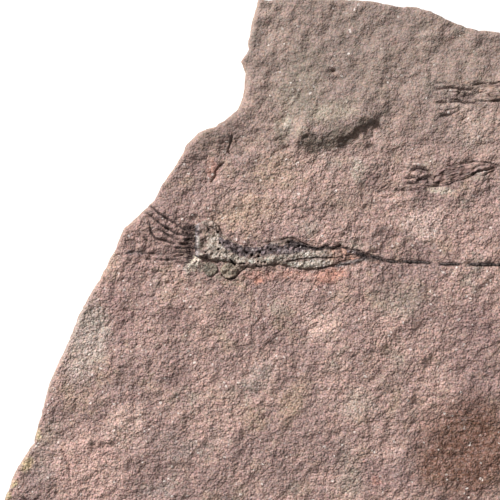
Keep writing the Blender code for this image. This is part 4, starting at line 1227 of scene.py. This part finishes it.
def sandstone():
    """Fine pink-mauve sandstone: worn grains with painted shade and some dirt in the creases between them,
    ragged stains, a few of them painted shade and highlights.
    """
    stone = Finish("fine_sandstone")
    close = stone.shifted(1.3, 1.6)
    ragged = stone.shifted(6.0, 5.0, close)
    broad = stone.noise(19.0, 3.0, 0.6, ragged)
    patchy = stone.noise(5.5, 3.0, 0.6, ragged)
    colour = stone.mix(stone.step(broad, 0.42, 0.60), MAUVE, PINK)
    colour = stone.mix(stone.step(patchy, 0.50, 0.72) * 0.55, colour, TAN)
    colour = stone.mix(stone.step(stone.noise(11.0, 3.0, 0.55, ragged), 0.55, 0.70) * 0.5, colour, GREY)
    for tint, strength, spots in STAINS_AND_PAINTED_LIGHT:
        blots = [stone.blot(ragged if min(spot[2:4]) > 3 else close, spot) for spot in spots]
        share = blots[0]
        for blot in blots[1:]:
            share = share.most(blot)
        speckle = stone.patch(0.8, 2.0, low=0.30) * 0.5 + 0.5
        colour = stone.mix(share * speckle * strength, colour, tint)
    far = stone.step(stone.node("ShaderNodeSeparateXYZ", {}, {0: ragged}, 1), CALM_FROM, CALM_TO)
    colour = stone.mix(far * 0.7, colour, paint(137, 122, 113))
    mottle = (stone.noise(6.0, 3.0, 0.6, ragged) - 0.5) * 0.7 + (stone.noise(2.4, 2.0, 0.6) - 0.5) * 0.5
    colour = stone.shade(colour, far * mottle + 1.0)
    slate = stone.mix(stone.patch(0.8, 2.0), paint(76, 69, 69), paint(128, 119, 116))
    colour = stone.mix(stone.mask("rods") * 0.90, colour, slate)
    # the scarp's face, streaked; its darkness is partly stain and partly painted shade
    streak = stone.patch(0.9, 2.0, low=0.35, high=0.60) * 0.4 + 0.45
    colour = stone.mix(stone.mask("face") * streak, colour, FACE_STAIN_AND_SHADE)
    fresh = stone.mix(stone.noise(3.0, 3.0), paint(158, 140, 120), paint(160, 130, 118))
    colour = stone.mix(stone.mask("wall") * 0.75, colour, fresh)
    colour, height = stone.grain(colour, 1.0 - far * 0.42)
    # iron stain, with the few painted shadows that ride on the same mask
    soaked = stone.mask("soot_and_shade") * (stone.patch(0.55, 2.0, low=0.36, high=0.58) * 0.42 + 0.58)
    return stone.done(stone.mix(soaked, colour, SOOT_AND_SHADE), 0.86, height)


def fossil_crust():
    """The main body: brown-grey crust, pale mass, ridge and lens, a slate-dark band and black seams; a few
    seams are painted shadows, and the pale takes in painted highlights on the left edge and lip.
    """
    crust = Finish("fossil_crust")
    patch = crust.patch(1.6)
    base = crust.mix(patch, paint(122, 103, 96), paint(158, 138, 126))
    tail = crust.mix(patch, paint(154, 122, 110), paint(200, 155, 135))
    base = crust.mix(crust.mask("tail") * 0.8, base, tail)
    lilac = crust.mix(patch, paint(104, 92, 92), paint(168, 156, 155))
    base = crust.mix(crust.mask("lilac"), base, lilac)
    cream = crust.mix(crust.patch(1.1), paint(160, 147, 134), paint(200, 189, 176))
    pores = crust.patch(0.55, 1.0, low=0.38, high=0.50)
    cream = crust.mix((1.0 - pores) * 0.42, cream, paint(108, 96, 88))
    base = crust.mix(crust.mask("pale"), base, cream)
    slate = crust.mix(crust.patch(0.8, 2.0, 0.65), paint(68, 58, 60), paint(132, 117, 117))
    base = crust.mix(crust.mask("slate") * 0.95, base, slate)
    base, height = crust.grain(base)
    # black holes and seams, among them a few painted shadow lines
    base = crust.mix(crust.mask("black") * 0.95, base, paint(34, 26, 25))
    return crust.done(base, 0.82, height)


def fossil_strand(name, deep, light):
    """Dark iron-stained strands: nearly black in the joints, browner on the worn crests."""
    strand = Finish(name)
    patch = strand.patch(0.6)
    colour = strand.mix(patch, deep, light)
    fine = strand.noise(0.25, 2.0, 0.6)
    colour = strand.shade(colour, 0.9 + (fine - 0.5) * 0.7)
    return strand.done(colour, 0.74, 0.08 * fine + 0.10 * patch)


def stone_like(name, tint, dust, turn=None):
    """A body of the stone's own grain, with dark seams; a turn draws the grain out that way."""
    body = Finish(name)
    if turn is not None:
        body.place = body.node("ShaderNodeMapping", {"vector_type": "TEXTURE"},
                               {"Vector": body.place, "Rotation": (0.0, 0.0, math.radians(turn)),
                                "Scale": (2.2, 1.0, 1.0)})
    colour = body.mix(body.patch(2.2), tint, dust)
    colour, height = body.grain(colour)
    colour = body.mix(body.mask("soot_and_shade") * 0.9, colour, SOOT_AND_SHADE)
    return body.done(colour, 0.84, height)


# --- pieces --------------------------------------------------------------------------------------


def settle(obj, node, slot):
    """The piece stands for its node and rides on the one body; slot is not used."""
    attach(obj, "root")
    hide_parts(node)


TOP_ONLY = 12.0  # the top's marks are kept above this height, off the wall and the underside


def make_slab():
    """The slab, with its masks for stain, wall, rods and the scarp's face; the stain mask carries a few
    painted shadows, and the face's darkening is partly painted shade.
    """
    shell = slab_shell()
    count = len(shell.along)

    def wall_mask(x, y, z):
        level = np.zeros(len(x))
        level[:shell.rings * count] = smooth_step((np.arange(shell.rings * count) // count - 1) / 2.0)
        return np.where(z < 2.0, 1.0, level)

    slab = shell.piece("sandstone_slab", sandstone(), [
        ("soot_and_shade", lambda x, y, z: soot_and_shade(x, y) * (z > TOP_ONLY)), ("wall", wall_mask),
        ("rods", lambda x, y, z: rods(x, y) * (z > TOP_ONLY)),
        ("face", lambda x, y, z: patch_share(x, y, SCARP_FACE, 0.7) * (z > TOP_ONLY))])
    map_slab(slab, shell)
    settle(slab, "matrix_slab", "sandstone")


def make_theca():
    """The main animal's body."""
    shell = body_shell(THECA, 0.125, theca_relief, 0.28, 0.50)
    masks = [
        ("slate", lambda x, y, z: slate_share(x, y)),
        ("tail", lambda x, y, z: smooth_step((x - 0.6) / 3)),
        ("lilac", lambda x, y, z: smooth_step((-30.4 - x) / 0.8)),
        ("black", lambda x, y, z: np.maximum(hole_share(x, y), black_marks_and_shadows(x, y))),
        ("pale", lambda x, y, z: pale_crust_and_highlight(x, y)),
    ]
    theca = shell.piece("theca_crust", fossil_crust(), masks)
    settle(theca, "theca", "fossil_plates")


def make_small_bodies():
    """The bodies of the two small animals."""
    dark = stone_like("stained_second_body", paint(124, 101, 95), paint(158, 132, 123), 18.0)
    pale = stone_like("pale_third_body", paint(140, 118, 108), paint(166, 144, 133), 5.0)
    for name, node, stations, finish, slot in (
            ("second_body", "second_theca", SECOND_THECA, dark, "iron_stained_fossil"),
            ("third_body", "third_theca", THIRD_THECA, pale, "fossil_plates")):
        shell = body_shell(stations, 0.18, plain_relief, 0.25, 0.5)
        settle(shell.piece(name, finish, [("soot_and_shade", lambda x, y, z: soot_and_shade(x, y))]), node, slot)


def make_lumps():
    """The two lumps of matrix below the main body's crown."""
    brown = stone_like("round_lump_matrix", paint(132, 118, 105), paint(166, 149, 132))
    dark = stone_like("flat_lump_matrix", paint(97, 89, 80), paint(125, 114, 102))
    for name, node, place, seed, ripple, finish in (
            ("round_lump", "round_nodule", ROUND_NODULE, 61, 0.10, brown),
            ("flat_lump", "flat_nodule", FLAT_NODULE, 66, 0.14, dark)):
        marks = [("soot_and_shade", lambda x, y, z: 0.6 * soot_and_shade(x, y))]
        settle(nodule_shell(place, seed, ripple).piece(name, finish, marks), node, "matrix_lump")


def make_strands():
    """All arms and stem lengths, the small animals' in a fainter finish."""
    arm = fossil_strand("stained_arm", paint(50, 39, 37), paint(100, 80, 75))
    stem = fossil_strand("stained_stem", paint(38, 30, 30), paint(98, 86, 82))
    faint = fossil_strand("faint_strand", paint(54, 39, 36), paint(96, 76, 70))
    for node, number, half, line, kind in STRANDS:
        name = node.replace("brachiole", "arm").replace("stem", "stem_length")
        finish = faint if kind in SMALL else stem if kind == "stem" else arm
        settle(strand_shell(node, half, number, line, kind).piece(name, finish), node, "iron_stained_fossil")


# --- stage ---------------------------------------------------------------------------------------

VIEW_CENTRE = (-18.1, 11.9)  # what the camera looks straight down on
VIEW_WIDTH = 125.0  # the width that it takes in, at the slab's top
LENS, SENSOR = 85.0, 36.0
KEY_WATTS = 72.0
SKY = 0.22


def make_floor():
    """A plain pale floor under the slab."""
    bpy.ops.mesh.primitive_plane_add(size=4.0, location=(0, 0, 0))
    floor = bpy.context.object
    floor.name = "pale_floor"
    finish = bpy.data.materials.new("pale_floor")
    finish.use_nodes = True
    shader = finish.node_tree.nodes["Principled BSDF"]
    shader.inputs["Base Color"].default_value = (0.93, 0.93, 0.93, 1.0)
    shader.inputs["Roughness"].default_value = 0.9
    shader.inputs["Specular IOR Level"].default_value = 0.1
    floor.data.materials.append(finish)
    floor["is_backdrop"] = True


def make_light():
    """One soft lamp from the upper left, and an even pale sky."""
    target = Vector((VIEW_CENTRE[0] * MM, VIEW_CENTRE[1] * MM, THICKNESS * MM))
    lamp = bpy.data.lights.new("window", "AREA")
    lamp.energy = KEY_WATTS
    lamp.shape = "DISK"
    lamp.size = 0.34
    obj = put("window", lamp)
    obj.location = target + Vector((-1.16, 1.16, 1.03))
    obj.rotation_euler = (target - obj.location).to_track_quat("-Z", "Y").to_euler()
    world = bpy.data.worlds.new("pale_sky")
    world.use_nodes = True
    sky = world.node_tree.nodes["Background"]
    sky.inputs["Color"].default_value = (1.0, 1.0, 1.0, 1.0)
    sky.inputs["Strength"].default_value = SKY
    bpy.context.scene.world = world


def make_camera():
    """A camera that looks straight down."""
    camera = bpy.data.cameras.new("overhead")
    camera.lens = LENS
    camera.sensor_width = SENSOR
    camera.clip_start = 0.01
    obj = put("overhead", camera)
    height = THICKNESS + VIEW_WIDTH * LENS / SENSOR
    obj.location = (VIEW_CENTRE[0] * MM, VIEW_CENTRE[1] * MM, height * MM)
    bpy.context.scene.camera = obj


make_slab()
make_theca()
make_small_bodies()
make_lumps()
make_strands()
make_floor()
make_light()
make_camera()
bpy.context.scene.view_settings.view_transform = "Standard"

[[list(corner) for corner in box] for box in (cad_box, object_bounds())]
